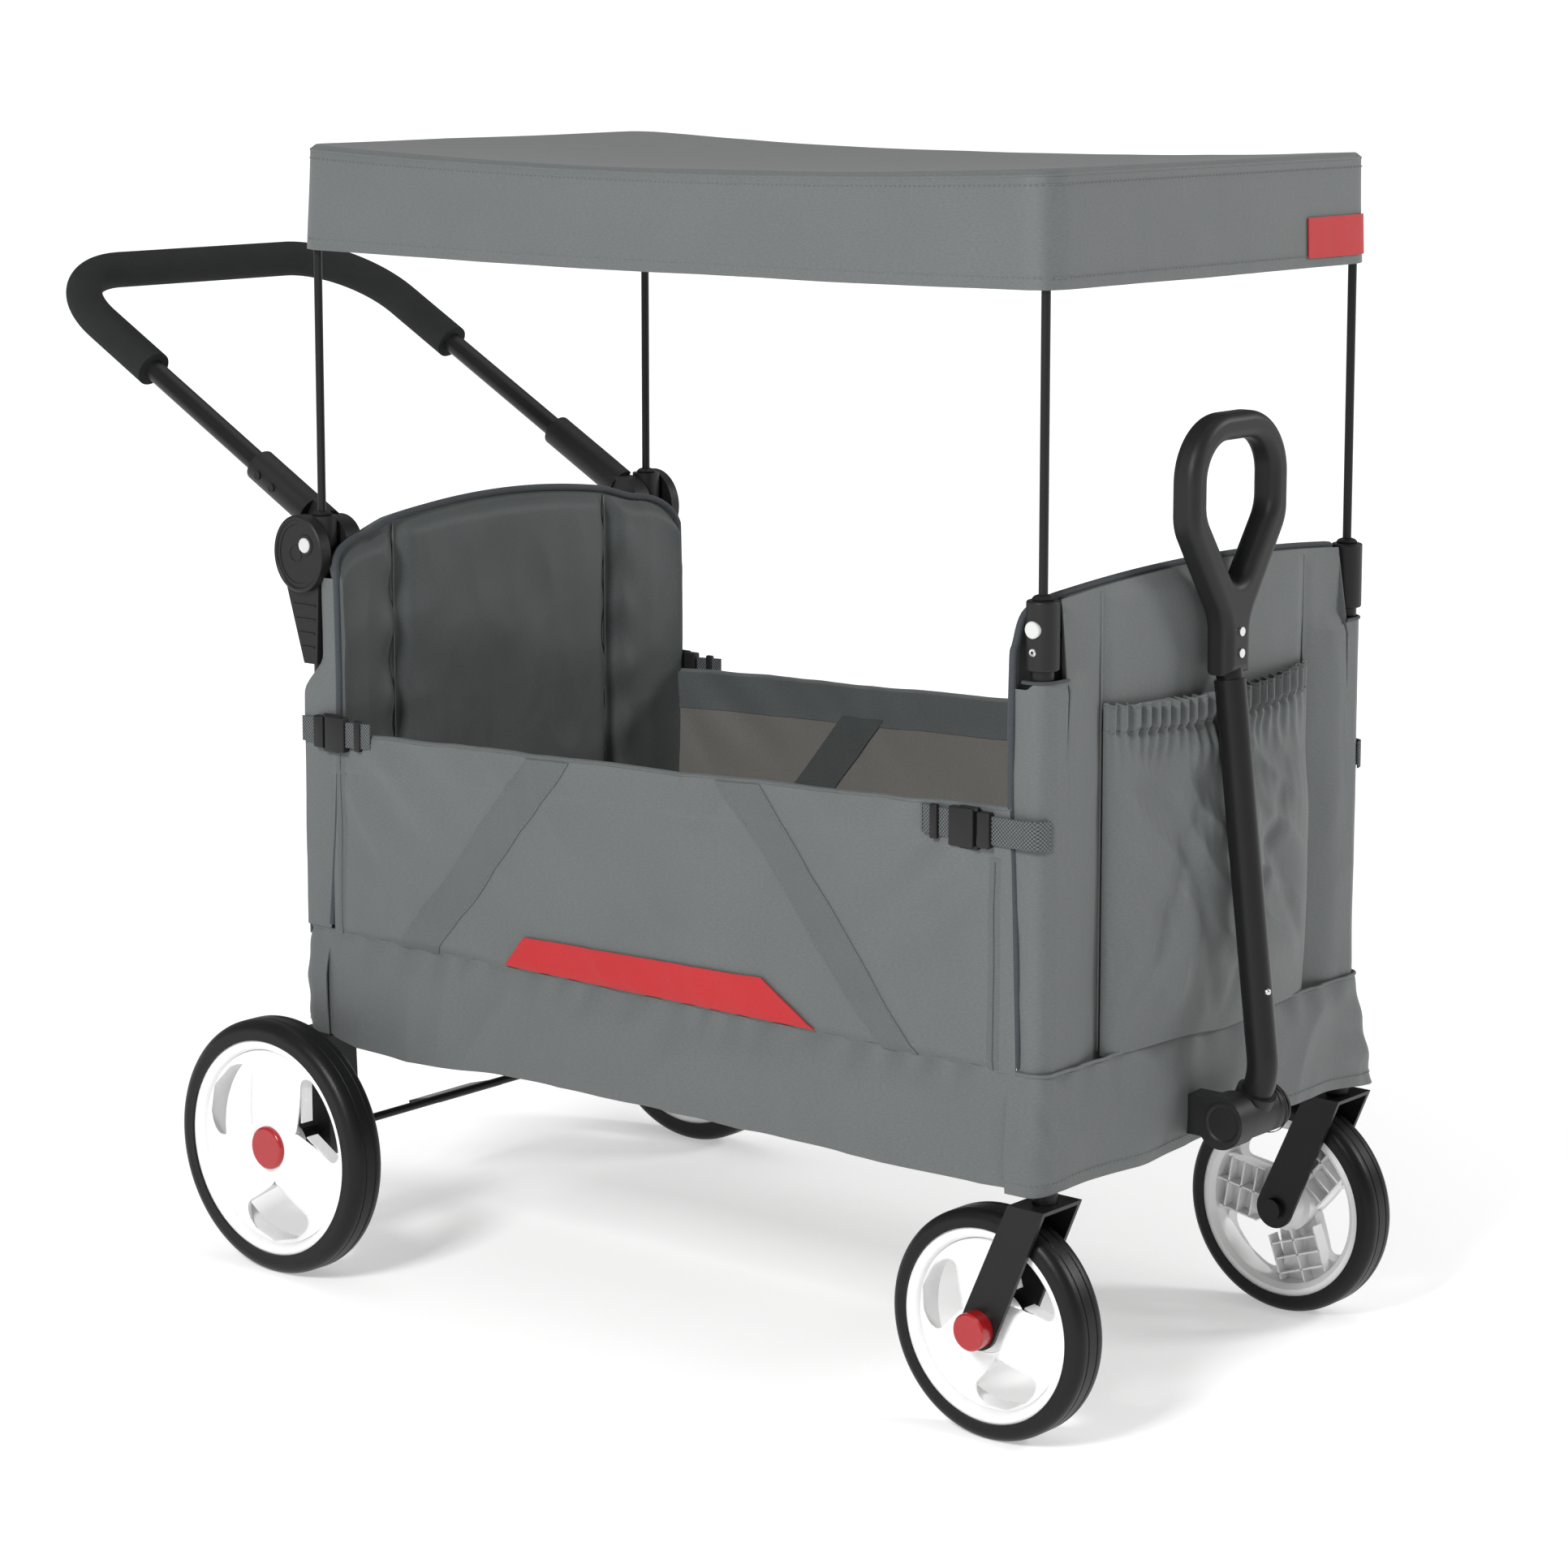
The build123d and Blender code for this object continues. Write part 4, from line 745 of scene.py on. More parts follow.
def inner_back(co):
    co.x = face_x - 0.0015 if abs(co.y) < 0.205 else co.x + 0.0025


inner = cloth("front_panel_pad", 110, 60, inner_at, 0.0)
backed(inner, inner_back, dark_cloth, "front_frame")
edge = []
for step in range(24):
    z = tub_low_z + 0.003 + (0.688 - tub_low_z) * step / 23
    edge.append((wing_back_x + front_lean(z) + 0.0015 * sin(pi * step / 23 * 2), z))
run = [(x, -side_y, z) for x, z in edge]
for step in range(61):
    y = (-1 + 2 * step / 60) * 0.2435
    reach = min(1, max(0, (abs(y) - 0.2) / 0.0435))
    top = 0.69 + (panel_top(0.2) - 0.69) * sqrt(1 - reach * reach) if abs(y) > 0.2 else panel_top(y)
    behind = ramp(abs(y), 0.205, 0.238)
    run.append((board_x + 0.006 - (board_x + 0.006 - wing_back_x) * behind, y, top + 0.0015))
run += [(x, side_y, z) for x, z in edge[::-1]]
piping("front_panel_piping", run, 0.0036, binding_tape, "front_frame")
for sign, name in sides:
    line = [(face_x + 0.0006, sign * 0.155, 0.334 + 0.397 * step / 39) for step in range(40)]
    piping(f"front_seam_{name}", line, 0.0011, thread, "front_frame")
    rim = []
    for step in range(12):
        s = notch_y + 0.0015 + (0.262 - notch_y) * step / 11
        x, y = wrap_line(s)
        rim.append((x + 0.0004, sign * y, notch_z + 0.0006))
    piping(f"notch_binding_{name}", rim, 0.0016, binding_tape, "front_frame")

# Front pocket: a soft pocket gathered on elastic at its mouth, pleated at its foot, that
# hangs open on the front panel.
pocket_half, pocket_foot, pocket_mouth = 0.156, 0.330, 0.636


def pocket_depth(y, v):
    """How far the pocket stands from the panel, from its foot at v 0 to its mouth at 1."""
    across = max(0.0, 1 - (abs(y) / pocket_half) ** 4)
    belly = 0.010 + 0.014 * sin(pi * min(1, v / 0.75)) * (1 - ramp(v, 0.7, 1)) + 0.004 * (1 - v)
    return belly * across ** 0.5


def pocket_at(u, v):
    y = (2 * u - 1) * pocket_half
    top = pocket_mouth - 0.008 * (1 - (y / pocket_half) ** 2) + 0.0012 * sin(y * 520)
    foot = pocket_foot - 0.006 * exp(-((y - 0.02) / 0.05) ** 2)
    z = foot + v * (top - foot)
    ruffle = sin(y * 465 + 3.4 * noise.noise(Vector((y * 26, 1, 4))))
    band = ramp(v, 0.905, 0.93)
    gather = 0.0050 * ruffle * band + 0.0022 * ruffle * ramp(v, 0.76, 0.92) * (1 - band)
    gather -= 0.0028 * exp(-(((v - 0.917) / 0.011) ** 2))
    pleat = 0.0
    for middle, width, lean in ((-0.10, 0.011, 0.9), (-0.03, 0.013, -0.5), (0.045, 0.011, 0.7),
                                (0.11, 0.012, -0.8)):
        pleat += exp(-((y - middle - lean * (v - 0.3) * 0.2) / width) ** 2)
    pleat *= 0.0085 * sin(pi * min(1, v / 0.8)) * (1 - ramp(v, 0.75, 0.95))
    loose = ramp(v, 0.03, 0.25) * (1 - ramp(v, 0.84, 0.92))
    sway = 0.0150 * crumple(y + 0.8 * z, 0.6 * z - 0.5 * y, 1.7, 10) * loose
    edge = max(0.0, 1 - (abs(y) / pocket_half) ** 6)
    x = face_x + 0.0040 + pocket_depth(y, v) + (gather + sway - pleat * 0.6) * edge
    return (max(x, face_x + 0.0012), y, z)


panel(cloth("pocket_cloth", 250, 90, pocket_at, 0.0012, -1.0), grey_cloth, "front_frame",
      (0.40, 0.32), instead=("front_pocket",))
for row, below in enumerate((0.003, 0.024)):
    line = row_on(pocket_at, 1 - below / 0.3, 159, (0.0009, 0, 0))
    stitches(f"pocket_stitches_{row}", line, "front_frame")

# Skirt: an unpadded band of the outer cloth sewn below the tub's seam all round. It hides
# the frame, so it hangs loose, puckers under the seam and crumples at the corners.
skirt_top, hem_z = 0.3305, 0.2305
skirt_y = side_y + 0.0016
skirt_front, skirt_rear = front_x + 0.0143, rear_x - 0.0125


def skirt_swell(along, v, seed):
    """Outward swell of the skirt: drawn in at the seam, full lower down, with folds."""
    down = 1 - v
    full = 0.0100 * sin(pi * min(1, down ** 0.7 * 0.66 + 0.02))
    fold = 0.0105 * crumple(along + 0.05 * down, down * 0.10, seed, 8) * ramp(down, 0.02, 0.35)
    pucker = 0.0016 * sin(along * 150 + 3 * noise.noise(Vector((along * 9, seed, 1)))) \
        * exp(-((down / 0.22) ** 2))
    return full + fold + pucker


for side, name in sides:
    def skirt_at(u, v, side=side):
        x = skirt_rear + 0.011 + u * (skirt_front - skirt_rear - 0.022)
        ends = exp(-(((u - 0.0) / 0.03) ** 2)) + exp(-(((u - 1.0) / 0.03) ** 2))
        droop = 0.012 * exp(-(((u - 0.13) / 0.13) ** 2)) if side < 0 else 0.006
        low = hem_z - droop * (1 - ends * 0.7)
        z = low + v * (skirt_top - low)
        y = skirt_y - 0.0012 * ends + skirt_swell(x, v, 11.5 + side) * (1 - ends)
        return (x, side * max(y, side_y + 0.0004), z)

    panel(cloth(f"side_skirt_{name}", 260, 30, skirt_at, 0.0014, -1.0 * side), grey_cloth,
          "rear_frame", (0.875, 0.112), True,
          ("side_skirts",) if side > 0 else ())
    line = row_on(skirt_at, 0.1, 200, (0, side * 0.0008, 0))
    folds(stitches(f"skirt_hem_stitches_{name}", line, "rear_frame"))
    line = row_on(skirt_at, 1, 200, (0, side * 0.0006, -0.0002))
    folds(piping(f"tub_seam_{name}", line, 0.0017, grey_cloth, "rear_frame"))

skirt_turn, skirt_tail = 0.015, 0.018
end_half = skirt_y - skirt_turn + skirt_turn * pi / 2 + skirt_tail
for end, x, body, seed in (("front", skirt_front, "front_frame", 21.0),
                           ("rear", skirt_rear, "rear_frame", 33.0)):
    ahead = 1 if end == "front" else -1

    def end_skirt_at(u, v, x=x, ahead=ahead, seed=seed):
        s = (2 * u - 1) * end_half
        past = abs(s) - (skirt_y - skirt_turn)
        turn = min(1.0, max(0.0, past / (skirt_turn * pi / 2))) * pi / 2
        tail = max(0.0, past - skirt_turn * pi / 2)
        out = max(0.0004, skirt_swell(s, v, seed) * (1 - 0.45 * ramp(past, -0.03, 0.01)))
        clear = exp(-((s / 0.05) ** 2)) if ahead > 0 else 0
        out = out * (1 - 0.55 * clear) + 0.0035 * sin(turn) * (1 - v)
        low = hem_z - 0.003 * crumple(s, 0.1, seed, 6) - 0.004 * ramp(past, -0.02, 0.02)
        z = low + v * (skirt_top - low)
        y = min(abs(s), skirt_y - skirt_turn) + skirt_turn * sin(turn) + out * sin(turn)
        away = skirt_turn * (cos(turn) - 1) - tail + out * cos(turn)
        away += 0.0022 * sin(z * 170 + s * 60) * exp(-((past / 0.022) ** 2)) * (1 - v) ** 0.3
        flare = ramp(s, 0.17, skirt_y) * (1 - v) ** 1.3 if ahead > 0 else 0
        return (x + ahead * away, (y + 0.022 * flare) * (1 if s > 0 else -1), z - 0.006 * flare)

    panel(cloth(f"{end}_skirt_cloth", 200, 30, end_skirt_at, 0.0014, -1.0 * ahead), grey_cloth,
          body, (0.547, 0.102), False, (f"{end}_skirt",))
    line = row_on(end_skirt_at, 0.1, 160, (ahead * 0.0008, 0, 0))
    stitches(f"{end}_hem_stitches", line, body)
    line = row_on(end_skirt_at, 1, 160, (ahead * 0.0006, 0, 0))
    piping(f"{end}_tub_seam", line, 0.0017, grey_cloth, body)

# Side walls: each is the outer cloth over a lining, with a broad hem at the top and two
# slanted strips sewn over it. It unzips at both ends and drops on the tub's seam.
wall_low_z = 0.3285
wall_rear_x = rest_line(rest_half)[0] - 0.004
wall_front_x = wing_back_x + 0.001


def wall_x(u):
    """A place along the wall, from its rear end at u 0 to its front end at 1."""
    return wall_rear_x + u * (wall_front_x - wall_rear_x)


def wall_top(x):
    t = max(0.0, (x - wall_rear_x) / (wall_front_x - wall_rear_x))
    return 0.5225 + 0.0325 * t ** 0.75 - 0.004 * sin(pi * t) + 0.0012 * crumple(x, 0, 9, 12)


def wall_out(x, z):
    """How far the wall stands out from the tub's side, at a place on it."""
    t = (x - wall_rear_x) / (wall_front_x - wall_rear_x)
    v = (z - wall_low_z) / (wall_top(x) - wall_low_z)
    tight = ramp(t, 0, 0.05) * ramp(1 - t, 0, 0.05)
    low = ramp(v, 0, 0.08)
    bow = 0.0045 * sin(pi * min(1, v)) * sin(pi * t)
    bow += 0.0042 * ramp(v, 0, 0.05) * (1 - ramp(v, 0.1, 0.5))
    flow = 0.0082 * crumple(x + 0.5 * z, z - 0.3 * x, 14.2, 9.5) * low
    pull = 0.0036 * sin((x + 1.4 * z) * 60) * exp(-(((t - 0.10) / 0.09) ** 2)) * ramp(v, 0.2, 0.8)
    pull += 0.0036 * sin((x - 1.2 * z) * 60) * exp(-(((t - 0.9) / 0.08) ** 2)) * ramp(v, 0.2, 0.8)
    hem = 0.0008 * ramp(z, wall_top(x) - 0.036, wall_top(x) - 0.034)
    return (bow + flow + pull) * tight + hem


def wall_point(side, x, z, lift=0.0):
    return Vector((x, side * (side_y + 0.0024 + wall_out(x, z) + lift), z))


strips = (((-0.147, -0.093), (-0.314, -0.263)), ((0.085, 0.134), (0.276, 0.316)))
label_corners = ((-0.171, 0.3335), (0.203, 0.3335), (0.145, 0.372), (-0.147, 0.3635))
label_red = woven("label_red", (0.40, 0.008, 0.011), (0.48, 0.014, 0.018), 0.7, 0.001, 0.12)
red_thread = moulded("red_thread", (0.30, 0.012, 0.016), 0.6, 2500, 0.0001)
zip_black = moulded("zip_teeth", (0.045, 0.052, 0.053), 0.45, 1500, 0.00008)

for side, name in sides:
    body = f"side_wall_{name}"

    def wall_at(u, v, side=side):
        x = wall_rear_x + u * (wall_front_x + 0.0075 * (1 - v) - wall_rear_x)
        return wall_point(side, x, wall_low_z + v * (wall_top(x) - wall_low_z))

    panel(cloth(f"wall_cloth_{name}", 230, 70, wall_at, 0.0012, -1.0 * side), grey_cloth, body,
          (0.815, 0.222), True, (f"side_wall_{name}",))

    def lining_at(u, v, side=side):
        x = wall_x(u)
        z = wall_low_z + v * (wall_top(x) - 0.036 - wall_low_z)
        return (x, side * (side_y - 0.0035 + 0.4 * wall_out(x, z)), z)

    panel(cloth(f"wall_lining_{name}", 160, 40, lining_at, 0.001, 1.0 * side), lining_cloth,
          body, (0.815, 0.19), loose=True)

    def hem_at(u, v, side=side):
        x = wall_x(u)
        z = wall_top(x) - 0.038 + 0.038 * v
        return (x, side * (side_y - 0.0045 + 0.4 * wall_out(x, z)), z + 0.0005)

    panel(cloth(f"wall_hem_inside_{name}", 160, 6, hem_at, 0.001, 1.0 * side), shaded_strip_cloth,
          body, (0.815, 0.038), loose=True)
    top_edge = [wall_point(side, wall_x(k / 120), wall_top(wall_x(k / 120)), -0.0028)
                for k in range(121)]
    folds(piping(f"wall_top_edge_{name}", top_edge, 0.0034, grey_cloth, body))
    line = []
    for step in range(141):
        x = wall_rear_x + 0.004 + (wall_front_x - wall_rear_x - 0.008) * step / 140
        line.append(wall_point(side, x, wall_top(x) - 0.035, 0.0009))
    folds(stitches(f"wall_hem_stitches_{name}", line, body))

    for number, (top_pair, foot_pair) in enumerate(strips):
        def strip_at(u, v, side=side, top_pair=top_pair, foot_pair=foot_pair, lift=0.0012):
            head = middle_x + top_pair[0] + (top_pair[1] - top_pair[0]) * u
            foot = middle_x + foot_pair[0] + (foot_pair[1] - foot_pair[0]) * u
            x = foot + (head - foot) * v
            z = wall_low_z + 0.001 + v * (wall_top(x) - 0.002 - wall_low_z)
            rolled = 0.0006 * (1 - (2 * u - 1) ** 8)
            return wall_point(side, x, z, lift + rolled)

        # the strips take the darker copy of the outer cloth, a painted shade
        panel(cloth(f"wall_strip_{number}_{name}", 14, 60, strip_at, 0.001, -1.0 * side),
              shaded_strip_cloth, body, (0.05, 0.28), loose=True)
        for edge_u in (0.07, 0.93):
            line = [strip_at(edge_u, 0.01 + 0.98 * k / 40, lift=0.0022) for k in range(41)]
            folds(stitches(f"strip_stitches_{number}_{int(edge_u * 100)}_{name}", line, body))

        def inside_at(u, v, side=side, top_pair=top_pair, foot_pair=foot_pair):
            outside = strip_at(u, v * 0.86, side, top_pair, foot_pair)
            x, z = outside[0], outside[2]
            return (x, side * (side_y - 0.0052 + 0.4 * wall_out(x, z)), z)

        panel(cloth(f"lining_strip_{number}_{name}", 8, 40, inside_at, 0.001, 1.0 * side),
              dark_cloth, body, (0.05, 0.24), loose=True)

    def label_at(u, v, side=side, lift=0.0028, inset=0.0):
        u, v = inset + u * (1 - 2 * inset), inset * 4 + v * (1 - 8 * inset)
        (ax, az), (bx, bz), (cx, cz), (dx, dz) = label_corners
        x = (1 - v) * (ax + (bx - ax) * u) + v * (dx + (cx - dx) * u)
        z = (1 - v) * (az + (bz - az) * u) + v * (dz + (cz - dz) * u)
        return wall_point(side, middle_x + x, z, lift)

    label = cloth(f"red_label_{name}", 90, 12, label_at, 0.0012, -1.0 * side)
    fit(label, label_red, body)
    folds(label)
    border = [label_at(u, v, side, 0.0034, 0.010) for u, v in
              [(k / 60, 0) for k in range(61)] + [(1, k / 8) for k in range(1, 9)]
              + [(1 - k / 60, 1) for k in range(1, 61)] + [(0, 1 - k / 8) for k in range(1, 9)]]
    folds(stitches(f"label_stitches_{name}", border, body, red_thread))

    for end, at_x in (("rear", middle_x - 0.393), ("front", middle_x + 0.396)):
        def tape_at(u, v, side=side, at_x=at_x):
            x = at_x + (u - 0.5) * 0.015
            z = wall_low_z + 0.002 + v * 0.182
            return wall_point(side, x, z, 0.0009 - 0.0006 * abs(2 * u - 1))

        panel(cloth(f"zip_tape_{end}_{name}", 6, 40, tape_at, 0.0008, -1.0 * side), shaded_strip_cloth,
              body, (0.015, 0.182), loose=True)
        line = [wall_point(side, at_x, wall_low_z + 0.003 + 0.178 * k / 40, 0.0016)
                for k in range(41)]
        folds(stitches(f"zip_teeth_{end}_{name}", line, body, zip_black, 0.0032,
                       1.5))

# Straps: woven webbing with a side-release buckle joins each wall to the wings at all four
# corners. The sockets hang on the wall's strap and the plugs on the wing's.
webbing = Finish("speckled_webbing", Specular_IOR_Level=0.3)
web_where = webbing.node("UVMap", {"uv_map": "weave"})
web_x = webbing.node("SeparateXYZ", None, {"Vector": web_where}, 0)
web_z = webbing.node("SeparateXYZ", None, {"Vector": web_where}, 1)
web_turn = 2 * pi / 0.0034
web_cell = (web_x * web_turn).maths("SINE", 0) * (web_z * web_turn).maths("SINE", 0)
web_share = webbing.steps(web_cell * 0.5 + 0.5, 0.35, 0.65)
webbing.set("Base Color", webbing.between((0.045, 0.05, 0.053), (0.16, 0.172, 0.176), web_share))
webbing.set("Roughness", web_cell * 0.05 + 0.8)
webbing.bump(web_cell, 0.7, 0.0012)


def strap(name, body, side, start, end, z, out, tilt=0.0):
    """Flat webbing from one X to another, out from the tub's side, an inch wide."""
    def strap_at(u, v):
        x = start + (end - start) * u
        return (x, side * (side_y + out), z + tilt * u + (v - 0.5) * 0.0245)

    web = cloth(name, 24, 8, strap_at, 0.0016, -1.0 * side)
    apply(web, "BEVEL", width=0.0004, segments=2)
    fit(web, webbing.material, body)
    abs(end - start)
    return web


def buckle_part(name, body, side, x, z, size, lift):
    """Moulded buckle piece with rounded edges and an inset top."""
    bpy.ops.object.select_all(action="DESELECT")
    bpy.ops.mesh.primitive_cube_add(size=1, location=(x, side * (side_y + lift), z))
    piece = bpy.context.object
    piece.name = name
    piece.scale = (size[0], size[1], size[2])
    bpy.ops.object.transform_apply(location=True, rotation=True, scale=True)
    bpy.ops.object.mode_set(mode="EDIT")
    mesh = bmesh.from_edit_mesh(piece.data)
    for face in mesh.faces:
        face.select_set(face.normal.y * side > 0.9)
    bmesh.update_edit_mesh(piece.data)
    bpy.ops.mesh.inset(thickness=0.0032)
    bpy.ops.transform.translate(value=(0, -side * 0.0008, 0))
    bpy.ops.object.mode_set(mode="OBJECT")
    apply(piece, "BEVEL", width=0.0013, segments=3, limit_method="ANGLE")
    smooth(piece)
    return fit(piece, black_nylon, body)


for side, name in sides:
    wall_body = f"side_wall_{name}"
    for end, frame_body, way, at_x, z in (("rear", "rear_frame", 1, middle_x - 0.399, 0.5265),
                                          ("front", "front_frame", -1, middle_x + 0.372, 0.5365)):
        tag = f"{end}_{name}"
        slides(strap(f"wall_strap_{tag}", wall_body, side, at_x + way * 0.014,
                     at_x + way * 0.052, z, 0.0085, 0.002), at_x)
        wing_end = (rear_x - 0.012) if end == "rear" else (front_x - 0.0032)
        strap(f"wing_strap_{tag}", frame_body, side, at_x - way * 0.016, wing_end, z, 0.0065, 0.0)
        slides(buckle_part(f"buckle_socket_{tag}", wall_body, side, at_x + way * 0.006, z,
                           (0.026, 0.0085, 0.034), 0.0088), at_x)
        buckle_part(f"buckle_plug_{tag}", frame_body, side, at_x - way * 0.017, z,
                    (0.013, 0.0075, 0.031), 0.0085)
        slides(buckle_part(f"strap_adjuster_{tag}", wall_body, side, at_x + way * 0.036,
                           z + 0.001, (0.008, 0.005, 0.030), 0.0098), at_x)
        for up in (-1, 1):
            buckle_part(f"buckle_catch_{tag}_{'top' if up > 0 else 'low'}", frame_body, side,
                        at_x - way * 0.001, z + up * 0.0165, (0.020, 0.0055, 0.0038), 0.0085)
        box_line = [(at_x + way * 0.050, side * (side_y + 0.0094),
                     z + 0.002 + (k / 8 - 0.5) * 0.022) for k in range(9)]
        slides(stitches(f"strap_bartack_{tag}", box_line, wall_body, thread,
                        0.0026), at_x)
        if end == "front":
            def return_at(u, v, side=side, z=z):
                turn, r = u * 1.15, 0.0218 - 0.0046 * ramp(u, 0.3, 1)
                return (front_x - 0.0032 + r * sin(turn), side * (0.2305 + r * cos(turn)),
                        z + (v - 0.5) * 0.0245)
            web = cloth(f"strap_turn_{tag}", 16, 6, return_at, 0.0016, -1.0 * side)
            fit(web, webbing.material, frame_body)

# Canopy: one piece of the outer cloth stretched over the two hoops, with a deep valance.
# A row of stitching runs below its top edge and another above its hem.
canopy_low, canopy_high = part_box("canopy_cover")
half_x = (canopy_high[0] - canopy_low[0]) / 2
half_y = canopy_high[1]
canopy_top, valance_z = canopy_high[2] - 0.0006, canopy_low[2]
canopy_r = 0.030


def sag(x, y):
    t = (x - middle_x) / half_x
    return (1 - t * t) * (0.011 + 0.007 * (1 - (y / half_y) ** 2))


bpy.ops.object.select_all(action="DESELECT")
bpy.ops.mesh.primitive_grid_add(x_subdivisions=120, y_subdivisions=66, size=2)
canopy = bpy.context.object
canopy.name = "canopy_cloth"
shoulder = 0.005


def canopy_plan(a, b, inset):
    """A place in the canopy's plan, whose corners are rounded; a and b from -1 to 1."""
    x, y = a * (half_x - inset), b * (half_y - inset)
    core_x, core_y = half_x - canopy_r, half_y - canopy_r
    if abs(x) > core_x and abs(y) > core_y:
        dx, dy = abs(x) - core_x, abs(y) - core_y
        reach = max(dx, dy) / hypot(dx, dy)
        x = (core_x + dx * reach) * (1 if x > 0 else -1)
        y = (core_y + dy * reach) * (1 if y > 0 else -1)
    return middle_x + x, y


for vertex in canopy.data.vertices:
    x, y = canopy_plan(vertex.co.x, vertex.co.y, shoulder)
    vertex.co = (x, y, canopy_top - sag(x, y) + 0.0012 * crumple(x, y, 4.4, 4))
bpy.ops.object.mode_set(mode="EDIT")
bpy.ops.mesh.select_all(action="SELECT")
bpy.ops.mesh.region_to_loop()
steps = [(0.4, 0.0012), (0.75, 0.0028), (1.0, 0.0055)]
drop = canopy_top - valance_z
for step in range(1, 15):
    steps.append((1.0, 0.0055 + (drop - 0.0055) * step / 14))
before_out, before_down = 0.0, 0.0
for out, down in steps:
    bpy.ops.mesh.extrude_region_move()
    mesh = bmesh.from_edit_mesh(canopy.data)
    for vertex in mesh.verts:
        if vertex.select:
            x, y = vertex.co.x - middle_x, vertex.co.y
            core_x, core_y = half_x - canopy_r, half_y - canopy_r
            dx, dy = max(0, abs(x) - core_x), max(0, abs(y) - core_y)
            length = max(hypot(dx, dy), 1e-6)
            move = shoulder * (out - before_out)
            vertex.co.x += move * dx / length * (1 if x > 0 else -1)
            vertex.co.y += move * dy / length * (1 if y > 0 else -1)
            share = ((down - before_down) / drop)
            vertex.co.z -= share * (drop - sag(vertex.co.x, vertex.co.y) * 0.75)
    bmesh.update_edit_mesh(canopy.data)
    before_out, before_down = out, down
bpy.ops.object.mode_set(mode="OBJECT")
for vertex in canopy.data.vertices:
    x, y, z = vertex.co
    down = (canopy_top - z) / drop
    if down > 0.06:
        hang = 0.0035 * crumple(x + 2.1 * y, z * 0.5, 6.6, 5) * ramp(down, 0.08, 1.0)
        if abs(abs(x - middle_x) - half_x) < 0.012:
            vertex.co.x += (1 if x > middle_x else -1) * (hang + 0.002 * down)
        if abs(abs(y) - half_y) < 0.012:
            vertex.co.y += (1 if y > 0 else -1) * (hang + 0.003 * down)
apply(canopy, "SOLIDIFY", thickness=0.0014, offset=-1.0)
weave_map(canopy)
smooth(canopy, 50)
fit(canopy, grey_cloth, "canopy_rear")
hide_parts("canopy_cover")
folds(canopy)


flat_x, flat_y, corner = 2 * (half_x - canopy_r), 2 * (half_y - canopy_r), canopy_r * pi / 2
rail_length = 2 * flat_x + 2 * flat_y + 4 * corner


def rail_point(t, down, proud):
    """A place round the valance: t from 0 to 1 round it, down from the canopy's top."""
    run = t * rail_length
    x, y, turn = -flat_x / 2, -half_y, -pi / 2
    for length, bend in ((flat_x, 0), (corner, 1), (flat_y, 0), (corner, 1)) * 2:
        part = min(run, length)
        if bend:
            centre = (x - canopy_r * cos(turn), y - canopy_r * sin(turn))
            turn += part / canopy_r
            x, y = centre[0] + canopy_r * cos(turn), centre[1] + canopy_r * sin(turn)
        else:
            x, y = x - part * sin(turn), y + part * cos(turn)
        run -= part
        if run <= 0:
            break
    fall = (canopy_top - valance_z - down) / drop
    z = canopy_top - down - sag(middle_x + x, y) * (1 - 0.75 * (1 - fall))
    share = down / drop
    hang = 0.0035 * crumple(middle_x + x + 2.1 * y, z * 0.5, 6.6, 5) * ramp(share, 0.08, 1.0)
    out = proud + hang + 0.0025 * share
    return Vector((middle_x + x + out * cos(turn), y + out * sin(turn), z))


for row, down in (("top", 0.013), ("hem", drop - 0.010)):
    line = [rail_point(step / 400, down, 0.0006) for step in range(401)]
    folds(stitches(f"canopy_stitches_{row}", line, "canopy_rear"))
line = [rail_point(step / 400, 0.0052, -0.0006) for step in range(401)]
folds(piping("canopy_top_seam", line, 0.0014, grey_cloth, "canopy_rear"))


def tag_at(u, v):
    run = flat_x + corner + flat_y / 2 + 0.135 + 0.098 * u
    return rail_point(run / rail_length, canopy_top - 0.998 - 0.036 * v, 0.0006)


tag = cloth("canopy_tag", 30, 12, tag_at, 0.0012, 1.0)
fit(tag, label_red, "canopy_rear")
folds(tag)

# Wheels: solid rubber tyres on white moulded rims with three broad spokes, ribbed inside.
# Red caps close the hubs on the outside.
white_gloss = moulded("white_gloss", (0.80, 0.80, 0.80), 0.26, 900, 0.00006, Coat_Weight=0.3)
red_gloss = moulded("red_gloss", (0.34, 0.007, 0.01), 0.26, 1100, 0.00008, Coat_Weight=0.3)
tyre_rubber = moulded("tyre_rubber", (0.007, 0.007, 0.0072), 0.38, 700, 0.00025,
                      Specular_IOR_Level=0.2)
coat(red_gloss, "rear_axle_caps", "front_axle_cap_left", "front_axle_cap_right")
coat(tyre_rubber, "rear_tyre_left", "rear_tyre_right", "front_tyre_left", "front_tyre_right")
coat(black_coat, "caster_fork_left", "caster_fork_right", "front_axle_left", "front_axle_right")


